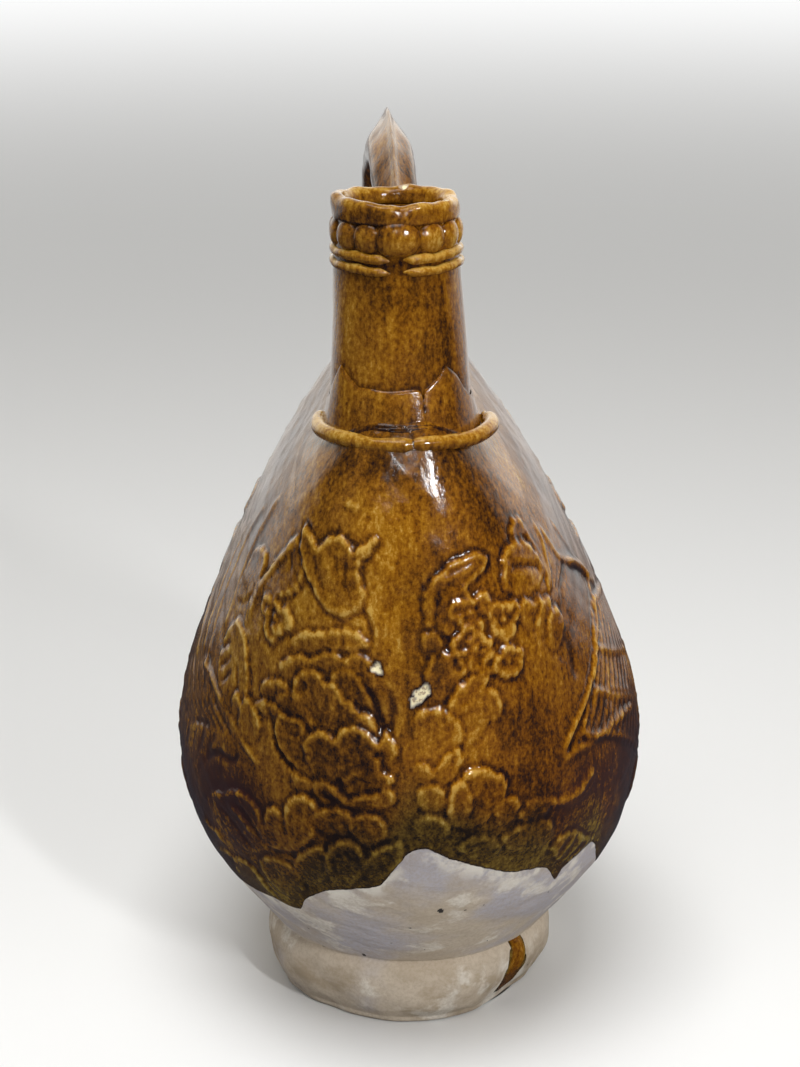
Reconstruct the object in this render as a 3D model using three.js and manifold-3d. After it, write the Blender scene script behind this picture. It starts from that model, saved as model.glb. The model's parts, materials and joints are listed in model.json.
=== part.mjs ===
// A glazed earthenware flask in the shape of a leather bag, in millimetres, +Z up, standing on z = 0.
// The spout is at the front (-Y) and the carrying loop runs back from it along +Y.
// It is made as a potter makes it: two press-moulded body halves, a base disc, a foot ring, a spout of two
// half tubes, and strips and pellets of clay luted on with slip.
import * as THREE from "three";
import { mergeVertices } from "three/addons/utils/BufferGeometryUtils.js";
import Module from "manifold-3d";

const FULL_TURN = 360; // degrees

// Joints and clay.
const SLIP = 0.3; // the layer of slip in every luted joint
const WALL = 5.5; // the body's clay

// Foot ring and base.
const FOOT_HEIGHT = 24;
const FOOT_TOP_RADIUS = 45.5;
const FOOT_BULGE = 1.1; // how far the ring swells past its top
const FOOT_TAPER = 3; // how much the sole is drawn in from the top
const FOOT_EDGE_ROUND = 2.5;
const BASE_INSET = 8; // from the foot's top edge to the base disc
const BASE_SEAT = 6.5; // how far the disc overlaps the ring that carries it
const BASE_THICKNESS = 5;

// Body stations: the rise of each from the one below, its half thickness and its reach to front and rear.
const HIP_RISE = 36;
const HIP_SIDE = 69.3;
const HIP_REACH = 75;
const BELLY_RISE = 43;
const BELLY_SIDE = 72.1;
const BELLY_REACH = 92;
const CHEST_RISE = 63;
const CHEST_SIDE = 46.6;
const CHEST_FRONT = 86;
const CHEST_REAR = 84;
const SHOULDER_RISE = 36;
const SHOULDER_LEDGE = 1.6; // how far the shoulder stands out past the sleeve round the spout
const SHOULDER_REAR = 59;
const RIDGE_RISE = 17;
const RIDGE_SIDE = 10;
const RIDGE_FRONT = 62;
const RIDGE_REAR = 43;
const FRONT_FULLNESS = 3; // superellipse power of the corner under the spout; 2 is a plain ellipse
const LEAN = 0.026; // the hand-built flask leans to its left by this much per mm above the belly

// Spout.
const SPOUT_SETBACK = 50; // from the middle of the foot to the spout's axis
const SPOUT_LENGTH = 66.7; // from the shoulder to the rim
const BORE_RADIUS = 13.5;
const BODY_HOLE_EASE = 2; // how much wider the hole cut in the body is than the bore
const NECK_WALL = 3.8; // at the top
const NECK_TAPER = 3.6; // how much wider the neck is at the shoulder
const LIP_HEIGHT = 5;
const LIP_OVERHANG = 0.7;
const LIP_ROUND = 1.6;
const NOTCH_WIDTH = 7;
const NOTCH_DEPTH = 2.2;

// Pellets and thin cords round the neck.
const BEAD_COUNT = 13; // besides the front one
const BEAD_WIDTH = 6.8;
const BEAD_HEIGHT = 7.4;
const BEAD_PROUD = 1.5;
const FRONT_BEAD_WIDTH = 10.6;
const FRONT_BEAD_HEIGHT = 9.6;
const FRONT_BEAD_PROUD = 2.2;
const FRONT_BEAD_ANGLE = 31; // degrees from the front bead to each neighbour
const UPPER_CORD_RADIUS = 1.2;
const LOWER_CORD_RADIUS = 1.1;
const CORD_SPACING = 1.2; // between the two cords
const CORD_DIP = 0.6; // how far the cords drop where their ends meet at the front
const CORD_END_ANGLE = 1; // degrees from the front seam to each end

// Pointed sleeve and thick cord round the spout's base. Angles are in degrees, from the front to the right.
const SLEEVE_THICKNESS = 1.3;
const SLEEVE_FLARE = 0.5; // how much thicker it is at the shoulder
const SLEEVE_VALLEY = 14.5; // heights of its top edge above the shoulder
const SLEEVE_PEAK = 20.5;
const SLEEVE_PEAK_ANGLES = [-135, -47, 40, 125];
const SLEEVE_PEAK_SPREAD = 21; // degrees from a peak down to its valley
const SLEEVE_SLIT_ANGLE = 18; // degrees, where the two sheets meet at the front
const COLLAR_RADIUS = 1.9;
const COLLAR_WRAP_ANGLE = 112; // degrees, where each end of the thick cord lies
const COLLAR_JOIN_ANGLE = 5; // degrees, where its two lengths meet

// Loop handle: a strap with a sharp crest on its outer side.
const HANDLE_RISE = 53; // from the ridge to the middle of the strap at the crown
const HANDLE_SIDE = 7.2;
const HANDLE_CREST = 12.6;
const HANDLE_BELLY = 5;
const HANDLE_FLARE = 0.35; // share by which the strap widens at its roots
const HANDLE_SWAY = 2.3; // how far the crown stands to the left
const HANDLE_NECK_GAP = 1; // between the sleeve and the crest behind it
const HANDLE_REAR_INSET = 2.4; // from the body's rear shoulder in to the crest of the rear leg
const MID_LEG_SHARE = 0.45; // of the rise, where a leg starts to bend in
const HAUNCH_SHARE = 0.87; // of the rise, at the two bends beside the crown
const HAUNCH_SPREAD = 0.28; // of the span between the legs, from the crown to each bend
const FRONT_SWAY_SHARE = 0.4; // of the crown's sway, at the front bend
const REAR_SWAY_SHARE = 1.2; // of the crown's sway, down the rear leg
// Half of the strap's section: shares of its side, and of its crest outwards or its belly inwards.
const STRAP_HALF = [
  [0, 1],
  [0.32, 0.6],
  [0.8, 0.26],
  [1, -0.2],
  [0.75, -0.85],
  [0, -1],
];

// Facets.
const HALF_SEGMENTS = 20;
const BODY_ROWS = 18;
const ROUND_SEGMENTS = 48;
const CORD_SIDES = 6;
const BEAD_SEGMENTS = 10;
const HANDLE_STEPS = 34;

// Heights and radii that follow from those.
const hipHeight = FOOT_HEIGHT + HIP_RISE;
const bellyHeight = hipHeight + BELLY_RISE;
const chestHeight = bellyHeight + CHEST_RISE;
const shoulderHeight = chestHeight + SHOULDER_RISE;
const ridgeHeight = shoulderHeight + RIDGE_RISE;
const rimHeight = shoulderHeight + SPOUT_LENGTH;
const neckTop = rimHeight - LIP_HEIGHT;
const neckBottom = shoulderHeight - 2 * WALL; // the blank tube starts inside the body
const baseRadius = FOOT_TOP_RADIUS - BASE_INSET;
const neckTopRadius = BORE_RADIUS + NECK_WALL;
const neckBaseRadius = neckTopRadius + NECK_TAPER;
const sleeveRadius = neckBaseRadius + SLIP + SLEEVE_THICKNESS + SLEEVE_FLARE;
const collarRing = sleeveRadius + SLIP + COLLAR_RADIUS;

const wasm = await Module();
wasm.setup();
const { degToRad, radToDeg, lerp, mapLinear, smoothstep } = THREE.MathUtils;
const UP = new THREE.Vector3(0, 0, 1);
const series = (count, make) => Array.from({ length: count }, (_, i) => make(i));

// A closed geometry as a solid that can be joined and cut, and the way back.
function solid(geometry) {
  const bare = geometry.clone();
  bare.deleteAttribute("normal");
  bare.deleteAttribute("uv");
  const merged = mergeVertices(bare, 1e-4);
  return new wasm.Manifold(
    new wasm.Mesh({
      numProp: 3,
      vertProperties: new Float32Array(merged.attributes.position.array),
      triVerts: new Uint32Array(merged.index.array),
    }),
  );
}

function geometryOf(body) {
  const mesh = body.getMesh();
  const geometry = new THREE.BufferGeometry();
  geometry.setAttribute("position", new THREE.BufferAttribute(mesh.vertProperties, mesh.numProp));
  geometry.setIndex(new THREE.BufferAttribute(mesh.triVerts, 1));
  return geometry;
}

// A closed skin over rings of points, all of one count and each anticlockwise seen from the last ring's
// side. A fan closes each end.
function loft(rings) {
  const count = rings[0].length;
  const points = rings.flat();
  const lastRing = points.length - count;
  const faces = [];
  for (let low = 0; low < lastRing; low += count) {
    for (let i = 0; i < count; i++) {
      const next = (i + 1) % count;
      faces.push(low + i, low + next, low + count + next, low + i, low + count + next, low + count + i);
    }
  }
  for (const [start, step] of [[0, -1], [lastRing, 1]]) {
    const ring = points.slice(start, start + count);
    points.push(ring.reduce((sum, point) => sum.add(point), new THREE.Vector3()).divideScalar(count));
    for (let i = 0; i < count; i++) {
      faces.push(start + i, start + ((i + step + count) % count), points.length - 1);
    }
  }
  const geometry = new THREE.BufferGeometry().setFromPoints(points);
  geometry.setIndex(faces);
  return geometry;
}

// A closed profile of [radius, height] turned about a vertical axis.
function turned(profile) {
  const closed = [...profile, profile[0]].map(([radius, z]) => new THREE.Vector2(radius, z));
  return new THREE.LatheGeometry(closed, ROUND_SEGMENTS).rotateX(Math.PI / 2);
}

function upright(radius, bottom, top) {
  return new THREE.CylinderGeometry(radius, radius, top - bottom, ROUND_SEGMENTS)
    .rotateX(Math.PI / 2)
    .translate(0, 0, (top + bottom) / 2);
}

// A round cord along points.
function cord(points, radius) {
  const last = points.length - 1;
  const rings = points.map((point, i) => {
    const along = points[Math.min(i + 1, last)].clone().sub(points[Math.max(i - 1, 0)]).normalize();
    const out = new THREE.Vector3().crossVectors(UP, along).normalize();
    const up = new THREE.Vector3().crossVectors(along, out);
    return series(CORD_SIDES, (k) => {
      const turn = (2 * Math.PI * (k + 0.5)) / CORD_SIDES;
      const across = out.clone().multiplyScalar(radius * Math.cos(turn));
      return point.clone().add(across).addScaledVector(up, radius * Math.sin(turn));
    });
  });
  return loft(rings);
}

// Places round the spout.
const onSpout = (geometry) => geometry.translate(0, -SPOUT_SETBACK, 0);
const neckRadiusAt = (z) => mapLinear(z, shoulderHeight, neckTop, neckBaseRadius, neckTopRadius);
function aroundSpout(angle, radius, z) {
  const turn = degToRad(angle);
  return new THREE.Vector3(radius * Math.sin(turn), -SPOUT_SETBACK - radius * Math.cos(turn), z);
}

// Body surface: smooth outlines through the stations, and rings between them.
const stations = [
  { z: FOOT_HEIGHT + SLIP, side: FOOT_TOP_RADIUS, front: FOOT_TOP_RADIUS, rear: FOOT_TOP_RADIUS },
  { z: hipHeight, side: HIP_SIDE, front: HIP_REACH, rear: HIP_REACH },
  { z: bellyHeight, side: BELLY_SIDE, front: BELLY_REACH, rear: BELLY_REACH },
  { z: chestHeight, side: CHEST_SIDE, front: CHEST_FRONT, rear: CHEST_REAR },
  {
    z: shoulderHeight,
    side: sleeveRadius + SHOULDER_LEDGE,
    front: SPOUT_SETBACK + collarRing + COLLAR_RADIUS / 2,
    rear: SHOULDER_REAR,
  },
  { z: ridgeHeight, side: RIDGE_SIDE, front: RIDGE_FRONT, rear: RIDGE_REAR },
];
const outline = (key) => new THREE.SplineCurve(stations.map((s) => new THREE.Vector2(s[key], s.z)));
const sideOutline = outline("side");
const frontOutline = outline("front");
const rearOutline = outline("rear");

// A point of an outline moved out by grow, square to the outline.
function grown(curve, t, grow) {
  const along = curve.getTangent(t);
  return curve.getPoint(t).add(new THREE.Vector2(along.y, -along.x).multiplyScalar(grow));
}

function bodyRing(t, grow) {
  const side = grown(sideOutline, t, grow);
  const front = grown(frontOutline, t, grow);
  const rear = grown(rearOutline, t, grow);
  const fullness = lerp(2, FRONT_FULLNESS, smoothstep(side.y, bellyHeight, shoulderHeight));
  return series(2 * HALF_SEGMENTS, (i) => {
    const turn = (Math.PI * i) / HALF_SEGMENTS;
    const across = Math.sin(turn);
    const ahead = Math.cos(turn);
    const end = ahead > 0 ? front : rear;
    const power = ahead > 0 ? 2 / fullness : 1;
    return new THREE.Vector3(
      side.x * Math.sign(across) * Math.abs(across) ** power,
      -end.x * Math.sign(ahead) * Math.abs(ahead) ** power,
      side.y * across ** 2 + end.y * ahead ** 2,
    );
  });
}

const bodySolid = (grow) => solid(loft(series(BODY_ROWS + 1, (row) => bodyRing(row / BODY_ROWS, grow))));
const bodyClearance = bodySolid(SLIP);

// The neck as a plain rod with room for slip, for fitting what is luted to it.
const neckClearance = solid(
  onSpout(
    turned([
      [0, neckBottom],
      [neckRadiusAt(neckBottom) + SLIP, neckBottom],
      [neckRadiusAt(rimHeight) + SLIP, rimHeight],
      [0, rimHeight],
    ]),
  ),
);

// All that lies on one side of the mould seam, short of it by half a joint.
function sideOfSeam(sign) {
  const reach = 2 * rimHeight;
  return solid(new THREE.BoxGeometry(reach, reach, 2 * reach).translate((sign * (reach + SLIP)) / 2, 0, 0));
}
const leftOfSeam = sideOfSeam(-1);
const rightOfSeam = sideOfSeam(1);

const clay = (color, roughness) => new THREE.MeshStandardMaterial({ color, roughness, metalness: 0 });
const amberGlaze = clay(0x8a5416, 0.2);
const goldGlaze = clay(0xa06a1c, 0.22);
const bareClay = clay(0xc9bda9, 0.8);

// Each piece takes the hand-built lean as it joins the flask.
const flask = new THREE.Group();
function piece(name, geometry, material) {
  const place = geometry.attributes.position;
  for (let i = 0; i < place.count; i++) {
    place.setX(i, place.getX(i) - LEAN * Math.max(0, place.getZ(i) - bellyHeight));
  }
  const mesh = new THREE.Mesh(geometry, material);
  mesh.name = name;
  flask.add(mesh);
}

// Foot ring: thick, softly swollen outside, with a flat sole.
const soleRadius = FOOT_TOP_RADIUS - FOOT_TAPER;
const wellRadius = baseRadius - BASE_SEAT;
piece(
  "foot_ring",
  turned([
    [wellRadius, 0],
    [soleRadius - FOOT_EDGE_ROUND, 0],
    [soleRadius, FOOT_EDGE_ROUND],
    [FOOT_TOP_RADIUS + FOOT_BULGE, FOOT_HEIGHT / 2],
    [FOOT_TOP_RADIUS, FOOT_HEIGHT],
    [wellRadius, FOOT_HEIGHT],
  ]),
  bareClay,
);

// Base disc: on the ring, closing the bottom of the two halves.
const baseBottom = FOOT_HEIGHT + SLIP;
piece("base_disc", upright(baseRadius, baseBottom, baseBottom + BASE_THICKNESS), bareClay);

// Body halves: a hollow skin, open round the base disc and under the spout.
const baseHole = solid(upright(baseRadius + SLIP, 0, hipHeight));
const spoutHole = solid(onSpout(upright(BORE_RADIUS + BODY_HOLE_EASE, chestHeight, rimHeight)));
const shell = bodySolid(0).subtract(bodySolid(-WALL)).subtract(baseHole).subtract(spoutHole);
piece("body_half_left", geometryOf(shell.intersect(leftOfSeam)), amberGlaze);
piece("body_half_right", geometryOf(shell.intersect(rightOfSeam)), amberGlaze);

// Spout halves: a tapered tube fitted to the body's shoulder and parted at the mould seam.
const tube = solid(
  onSpout(
    turned([
      [BORE_RADIUS, neckBottom],
      [neckRadiusAt(neckBottom), neckBottom],
      [neckTopRadius, neckTop],
      [BORE_RADIUS, neckTop],
    ]),
  ),
).subtract(bodyClearance);
piece("spout_half_left", geometryOf(tube.intersect(leftOfSeam)), amberGlaze);
piece("spout_half_right", geometryOf(tube.intersect(rightOfSeam)), amberGlaze);

// Lip: a coil on top of the spout, pinched down at the front.
const lipRadius = neckTopRadius + LIP_OVERHANG;
const lipBottom = neckTop + SLIP;
const lip = solid(
  onSpout(
    turned([
      [BORE_RADIUS, lipBottom],
      [lipRadius - LIP_ROUND, lipBottom],
      [lipRadius, lipBottom + LIP_ROUND],
      [lipRadius, rimHeight - LIP_ROUND],
      [lipRadius - LIP_ROUND, rimHeight],
      [BORE_RADIUS + LIP_ROUND, rimHeight],
      [BORE_RADIUS, rimHeight - LIP_ROUND],
    ]),
  ),
);
const notchOutline = new THREE.Shape([
  new THREE.Vector2(0, rimHeight - NOTCH_DEPTH),
  new THREE.Vector2(NOTCH_WIDTH / 2, rimHeight),
  new THREE.Vector2(NOTCH_WIDTH / 2, rimHeight + NOTCH_DEPTH),
  new THREE.Vector2(-NOTCH_WIDTH / 2, rimHeight + NOTCH_DEPTH),
  new THREE.Vector2(-NOTCH_WIDTH / 2, rimHeight),
]);
const notchBar = new THREE.ExtrudeGeometry(notchOutline, { depth: 2 * lipRadius, bevelEnabled: false });
const notch = solid(onSpout(notchBar.rotateX(Math.PI / 2)));
piece("lip_coil", geometryOf(lip.subtract(notch)), goldGlaze);

// Pellets under the lip: a large one on the front seam, and the rest spaced evenly round the neck.
const beadZ = neckTop - FRONT_BEAD_HEIGHT / 2;
function bead(angle, width, height, proud) {
  const ball = new THREE.SphereGeometry(1, BEAD_SEGMENTS, BEAD_SEGMENTS - 2);
  const middle = aroundSpout(angle, neckRadiusAt(beadZ) + SLIP + proud - width / 2, beadZ);
  ball.scale(width / 2, width / 2, height / 2).translate(middle.x, middle.y, middle.z);
  return geometryOf(solid(ball).subtract(neckClearance));
}
piece("bead_front", bead(0, FRONT_BEAD_WIDTH, FRONT_BEAD_HEIGHT, FRONT_BEAD_PROUD), goldGlaze);
for (let i = 0; i < BEAD_COUNT; i++) {
  const angle = lerp(FRONT_BEAD_ANGLE, FULL_TURN - FRONT_BEAD_ANGLE, i / (BEAD_COUNT - 1));
  piece(`bead_${i + 1}`, bead(angle, BEAD_WIDTH, BEAD_HEIGHT, BEAD_PROUD), goldGlaze);
}

// Thin cords: strips wrapped once round the neck, pressed on, dipping to where their ends meet at the front.
function neckCord(height, radius) {
  const points = series(ROUND_SEGMENTS + 1, (i) => {
    const angle = lerp(CORD_END_ANGLE, FULL_TURN - CORD_END_ANGLE, i / ROUND_SEGMENTS);
    const nearFront = Math.max(0, Math.cos(degToRad(angle))) ** 4;
    const z = height - CORD_DIP * nearFront;
    return aroundSpout(angle, neckRadiusAt(z) + SLIP - radius / 3, z);
  });
  return geometryOf(solid(cord(points, radius)).subtract(neckClearance));
}
const upperCordZ = beadZ - FRONT_BEAD_HEIGHT / 2 - SLIP;
const lowerCordZ = upperCordZ - UPPER_CORD_RADIUS - CORD_SPACING - LOWER_CORD_RADIUS;
piece("neck_cord_upper", neckCord(upperCordZ, UPPER_CORD_RADIUS), goldGlaze);
piece("neck_cord_lower", neckCord(lowerCordZ, LOWER_CORD_RADIUS), goldGlaze);

// Sleeve: two thin sheets wrapped round the spout's base, with pointed tabs along the top edge.
function sleeveTop(angle) {
  const nearest = Math.min(...SLEEVE_PEAK_ANGLES.map((peak) => Math.abs(angle - peak)));
  const climb = Math.max(0, 1 - nearest / SLEEVE_PEAK_SPREAD);
  return shoulderHeight + lerp(SLEEVE_VALLEY, SLEEVE_PEAK, climb);
}
function sleeve(from, to) {
  const even = series(HALF_SEGMENTS + 1, (i) => lerp(from, to, i / HALF_SEGMENTS));
  const spread = SLEEVE_PEAK_SPREAD;
  const corners = SLEEVE_PEAK_ANGLES.flatMap((peak) => [peak - spread, peak, peak + spread]);
  const inside = corners.filter((angle) => angle > from && angle < to);
  const angles = [...even, ...inside].sort((a, b) => a - b);
  const rings = angles.map((angle) => {
    const at = (z, out) => aroundSpout(angle, neckRadiusAt(z) + SLIP + out, z);
    const top = sleeveTop(angle);
    const foot = SLEEVE_THICKNESS + SLEEVE_FLARE;
    return [
      at(top, 0),
      at(top - SLEEVE_THICKNESS, SLEEVE_THICKNESS),
      at(shoulderHeight + COLLAR_RADIUS, foot),
      at(neckBottom, foot),
      at(neckBottom, 0),
    ];
  });
  return geometryOf(solid(loft(rings)).subtract(bodyClearance));
}
const slitHalf = radToDeg(SLIP / neckBaseRadius) / 2;
piece("sleeve_left", sleeve(slitHalf - FULL_TURN / 2, SLEEVE_SLIT_ANGLE - slitHalf), amberGlaze);
piece("sleeve_right", sleeve(SLEEVE_SLIT_ANGLE + slitHalf, FULL_TURN / 2 - slitHalf), amberGlaze);

// Thick cord: two lengths round the front of the sleeve's foot, laid on the shoulder.
function collarCord(from, to) {
  const points = series(HALF_SEGMENTS + 1, (i) =>
    aroundSpout(lerp(from, to, i / HALF_SEGMENTS), collarRing, shoulderHeight),
  );
  return geometryOf(solid(cord(points, COLLAR_RADIUS)).subtract(bodyClearance));
}
const joinHalf = radToDeg(SLIP / (collarRing - COLLAR_RADIUS)) / 2;
piece("collar_cord_left", collarCord(-COLLAR_WRAP_ANGLE, COLLAR_JOIN_ANGLE - joinHalf), goldGlaze);
piece("collar_cord_right", collarCord(COLLAR_JOIN_ANGLE + joinHalf, COLLAR_WRAP_ANGLE), goldGlaze);

// Loop handle: the strap arches from behind the spout to the rear of the ridge, its crest outwards.
const handleFront = -SPOUT_SETBACK + sleeveRadius + HANDLE_NECK_GAP + HANDLE_CREST;
const handleRear = SHOULDER_REAR - HANDLE_REAR_INSET - HANDLE_CREST;
const crownY = (handleFront + handleRear) / 2;
const crownZ = ridgeHeight + HANDLE_RISE;
const midLegZ = ridgeHeight + MID_LEG_SHARE * HANDLE_RISE;
const haunchZ = ridgeHeight + HAUNCH_SHARE * HANDLE_RISE;
const haunchY = HAUNCH_SPREAD * (handleRear - handleFront);
const rearSway = REAR_SWAY_SHARE * HANDLE_SWAY;
const handlePath = new THREE.CatmullRomCurve3([
  new THREE.Vector3(0, handleFront, ridgeHeight - WALL),
  new THREE.Vector3(0, handleFront, midLegZ),
  new THREE.Vector3(-FRONT_SWAY_SHARE * HANDLE_SWAY, crownY - haunchY, haunchZ),
  new THREE.Vector3(-HANDLE_SWAY, crownY, crownZ),
  new THREE.Vector3(-rearSway, crownY + haunchY, haunchZ),
  new THREE.Vector3(-rearSway, handleRear, midLegZ),
  new THREE.Vector3(0, handleRear, shoulderHeight - WALL),
]);
const strapHalf = STRAP_HALF.map(([across, out]) => [
  across * HANDLE_SIDE,
  out * (out > 0 ? HANDLE_CREST : HANDLE_BELLY),
]);
const otherHalf = strapHalf.slice(1, -1).reverse();
const strapSection = [...strapHalf, ...otherHalf.map(([across, out]) => [-across, out])];
const strapRings = series(HANDLE_STEPS + 1, (i) => {
  const t = i / HANDLE_STEPS;
  const point = handlePath.getPointAt(t);
  const across = new THREE.Vector3(1, 0, 0);
  const out = new THREE.Vector3().crossVectors(across, handlePath.getTangentAt(t)).normalize();
  const widen = 1 + HANDLE_FLARE * Math.abs(2 * t - 1) ** 6;
  return strapSection.map(([x, y]) => {
    const beside = point.clone().addScaledVector(across, widen * x);
    return beside.addScaledVector(out, y);
  });
});
piece("loop_handle", geometryOf(solid(loft(strapRings)).subtract(bodyClearance)), amberGlaze);

export default flask;
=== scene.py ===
# %% [markdown]
# # A leather-bag flask in amber glaze
#
# The flask copies a stitched leather water bag in clay. A potter pressed its two halves in a mould that
# holds the carving, a phoenix among peonies, joined them at the front and rear seams, and luted on a foot
# ring, a spout with beads and cords, and a loop to carry it by. The whole was dipped in amber glaze by
# hand, so the lowest part and the foot stay bare.
#
# The imported solids give the frame, the sizes and the plain shapes. Here each solid but the base disc is
# replaced by a finer skin in the same place. Sizes are in millimetres until a mesh is made, because every
# clay size is a few of them.

# %% The frame
import json
import math

import bmesh
import bpy
import numpy as np
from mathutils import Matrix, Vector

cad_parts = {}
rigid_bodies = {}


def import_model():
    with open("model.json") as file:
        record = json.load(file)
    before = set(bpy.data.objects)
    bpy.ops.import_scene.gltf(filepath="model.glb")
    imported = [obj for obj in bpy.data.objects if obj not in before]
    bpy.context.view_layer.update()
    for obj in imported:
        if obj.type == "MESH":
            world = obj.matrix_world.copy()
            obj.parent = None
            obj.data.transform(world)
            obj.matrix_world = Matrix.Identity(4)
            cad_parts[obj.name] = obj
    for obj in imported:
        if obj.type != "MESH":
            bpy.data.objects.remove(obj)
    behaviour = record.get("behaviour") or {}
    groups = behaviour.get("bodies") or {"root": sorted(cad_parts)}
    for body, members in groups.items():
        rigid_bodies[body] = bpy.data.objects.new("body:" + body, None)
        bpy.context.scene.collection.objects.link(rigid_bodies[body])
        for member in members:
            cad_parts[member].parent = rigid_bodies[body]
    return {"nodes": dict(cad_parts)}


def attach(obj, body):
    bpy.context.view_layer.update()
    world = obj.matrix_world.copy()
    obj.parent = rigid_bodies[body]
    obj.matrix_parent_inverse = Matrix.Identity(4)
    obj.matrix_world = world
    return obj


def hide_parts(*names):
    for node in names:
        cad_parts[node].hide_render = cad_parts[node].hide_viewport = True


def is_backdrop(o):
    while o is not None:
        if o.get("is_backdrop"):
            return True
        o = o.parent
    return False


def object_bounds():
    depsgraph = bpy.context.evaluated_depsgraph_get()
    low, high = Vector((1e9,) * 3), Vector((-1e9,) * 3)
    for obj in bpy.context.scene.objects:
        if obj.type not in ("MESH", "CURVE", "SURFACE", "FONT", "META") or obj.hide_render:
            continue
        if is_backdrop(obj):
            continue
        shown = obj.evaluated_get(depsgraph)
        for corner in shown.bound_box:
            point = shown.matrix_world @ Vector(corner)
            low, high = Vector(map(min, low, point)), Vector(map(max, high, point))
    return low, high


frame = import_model()
cad_low, cad_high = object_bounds()
MM = 0.001
print("frame:", len(frame["nodes"]), "nodes, box in mm", [round(v / MM) for v in cad_high - cad_low])

# %% [markdown]
# ## Camera
#
# The photograph looks at the spout end from a little above. Focal length, distance and tilt were fitted to
# the round foot and to the outlines of the body. The same numbers tell where a pixel of the photograph
# falls on the clay, which is how the carving finds its place.

# %% Camera
PHOTO_WIDTH, PHOTO_HEIGHT = 800, 1067
FOCAL_PIXELS = 2375.0
CAMERA_PLACE = np.array([-2.94, -720.5, 382.8])
CAMERA_TILT = math.radians(17.78)
SENSOR = 36.0

camera_data = bpy.data.cameras.new("camera")
camera_data.sensor_width = SENSOR
camera_data.lens = SENSOR * FOCAL_PIXELS / PHOTO_HEIGHT
camera_data.clip_end = 100
camera = bpy.data.objects.new("camera", camera_data)
camera.location = CAMERA_PLACE * MM
camera.rotation_euler = (math.pi / 2 - CAMERA_TILT, 0, 0)
bpy.context.scene.collection.objects.link(camera)
bpy.context.scene.camera = camera


def pixels_of(points):
    """Where points of the flask show in the photograph, in its pixels."""
    x, y, z = np.moveaxis(points - CAMERA_PLACE, -1, 0)
    depth = y * math.cos(CAMERA_TILT) - z * math.sin(CAMERA_TILT)
    rise = y * math.sin(CAMERA_TILT) + z * math.cos(CAMERA_TILT)
    scale = FOCAL_PIXELS / depth
    return np.stack([PHOTO_WIDTH / 2 + x * scale, PHOTO_HEIGHT / 2 - rise * scale], -1)


print("camera: lens", round(camera_data.lens, 1), "mm")

# %% [markdown]
# ## Light and floor
#
# A wide panel hangs overhead, and two narrow tubes high in front light the flask and leave small glints in
# the glaze. Three more panels, a second ceiling and a fill on either side, only add soft light. They leave
# no reflection, so the amber stays deep. The floor is a plain sheet, and how it and the room look is set
# after the glaze.

# %% Light and floor
scene = bpy.context.scene
scene.view_settings.view_transform = "Standard"


def panel(name, place, aim, size, watts, shine=True):
    """A soft square light that looks at a point. Without shine it leaves no reflection."""
    data = bpy.data.lights.new(name, "AREA")
    data.shape = "RECTANGLE"
    data.size, data.size_y = size
    data.energy = watts
    light = bpy.data.objects.new(name, data)
    scene.collection.objects.link(light)
    light.location = place
    light.visible_glossy = shine
    gaze = Vector(aim) - Vector(place)
    light.rotation_euler = gaze.to_track_quat("-Z", "Y").to_euler()


panel("ceiling", (-0.1, -0.45, 1.6), (0, 0, 0.15), (1.0, 0.8), 5)
panel("soft ceiling", (-0.1, -0.45, 1.62), (0, 0, 0.15), (1.0, 0.8), 17, False)
panel("middle tube", (0.0, -1.3, 0.92), (0, -0.08, 0.19), (0.015, 0.30), 1.3)
panel("right tube", (0.62, -1.25, 0.84), (0, -0.08, 0.19), (0.07, 0.32), 9)
panel("left fill", (-1.3, -0.8, 0.75), (0, 0, 0.13), (0.8, 0.8), 3.5, False)
panel("right fill", (1.3, -0.8, 0.75), (0, 0, 0.13), (0.8, 0.8), 3.5, False)

floor_mesh = bpy.data.meshes.new("floor")
HALF_FLOOR = 9.0
floor_mesh.from_pydata([(x, y, 0) for x, y in ((-1, -1), (1, -1), (1, 1), (-1, 1))], [], [(0, 1, 2, 3)])
floor_mesh.transform(Matrix.Diagonal((HALF_FLOOR, HALF_FLOOR, 1, 1)))
floor = bpy.data.objects.new("floor", floor_mesh)
scene.collection.objects.link(floor)
floor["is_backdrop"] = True

# %% [markdown]
# ## Shaders written as sums
#
# A glaze is many small sums of noise, height and distance. Wrapping a node socket in a class with the usual
# operators lets each of them be written as one line of arithmetic.


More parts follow.
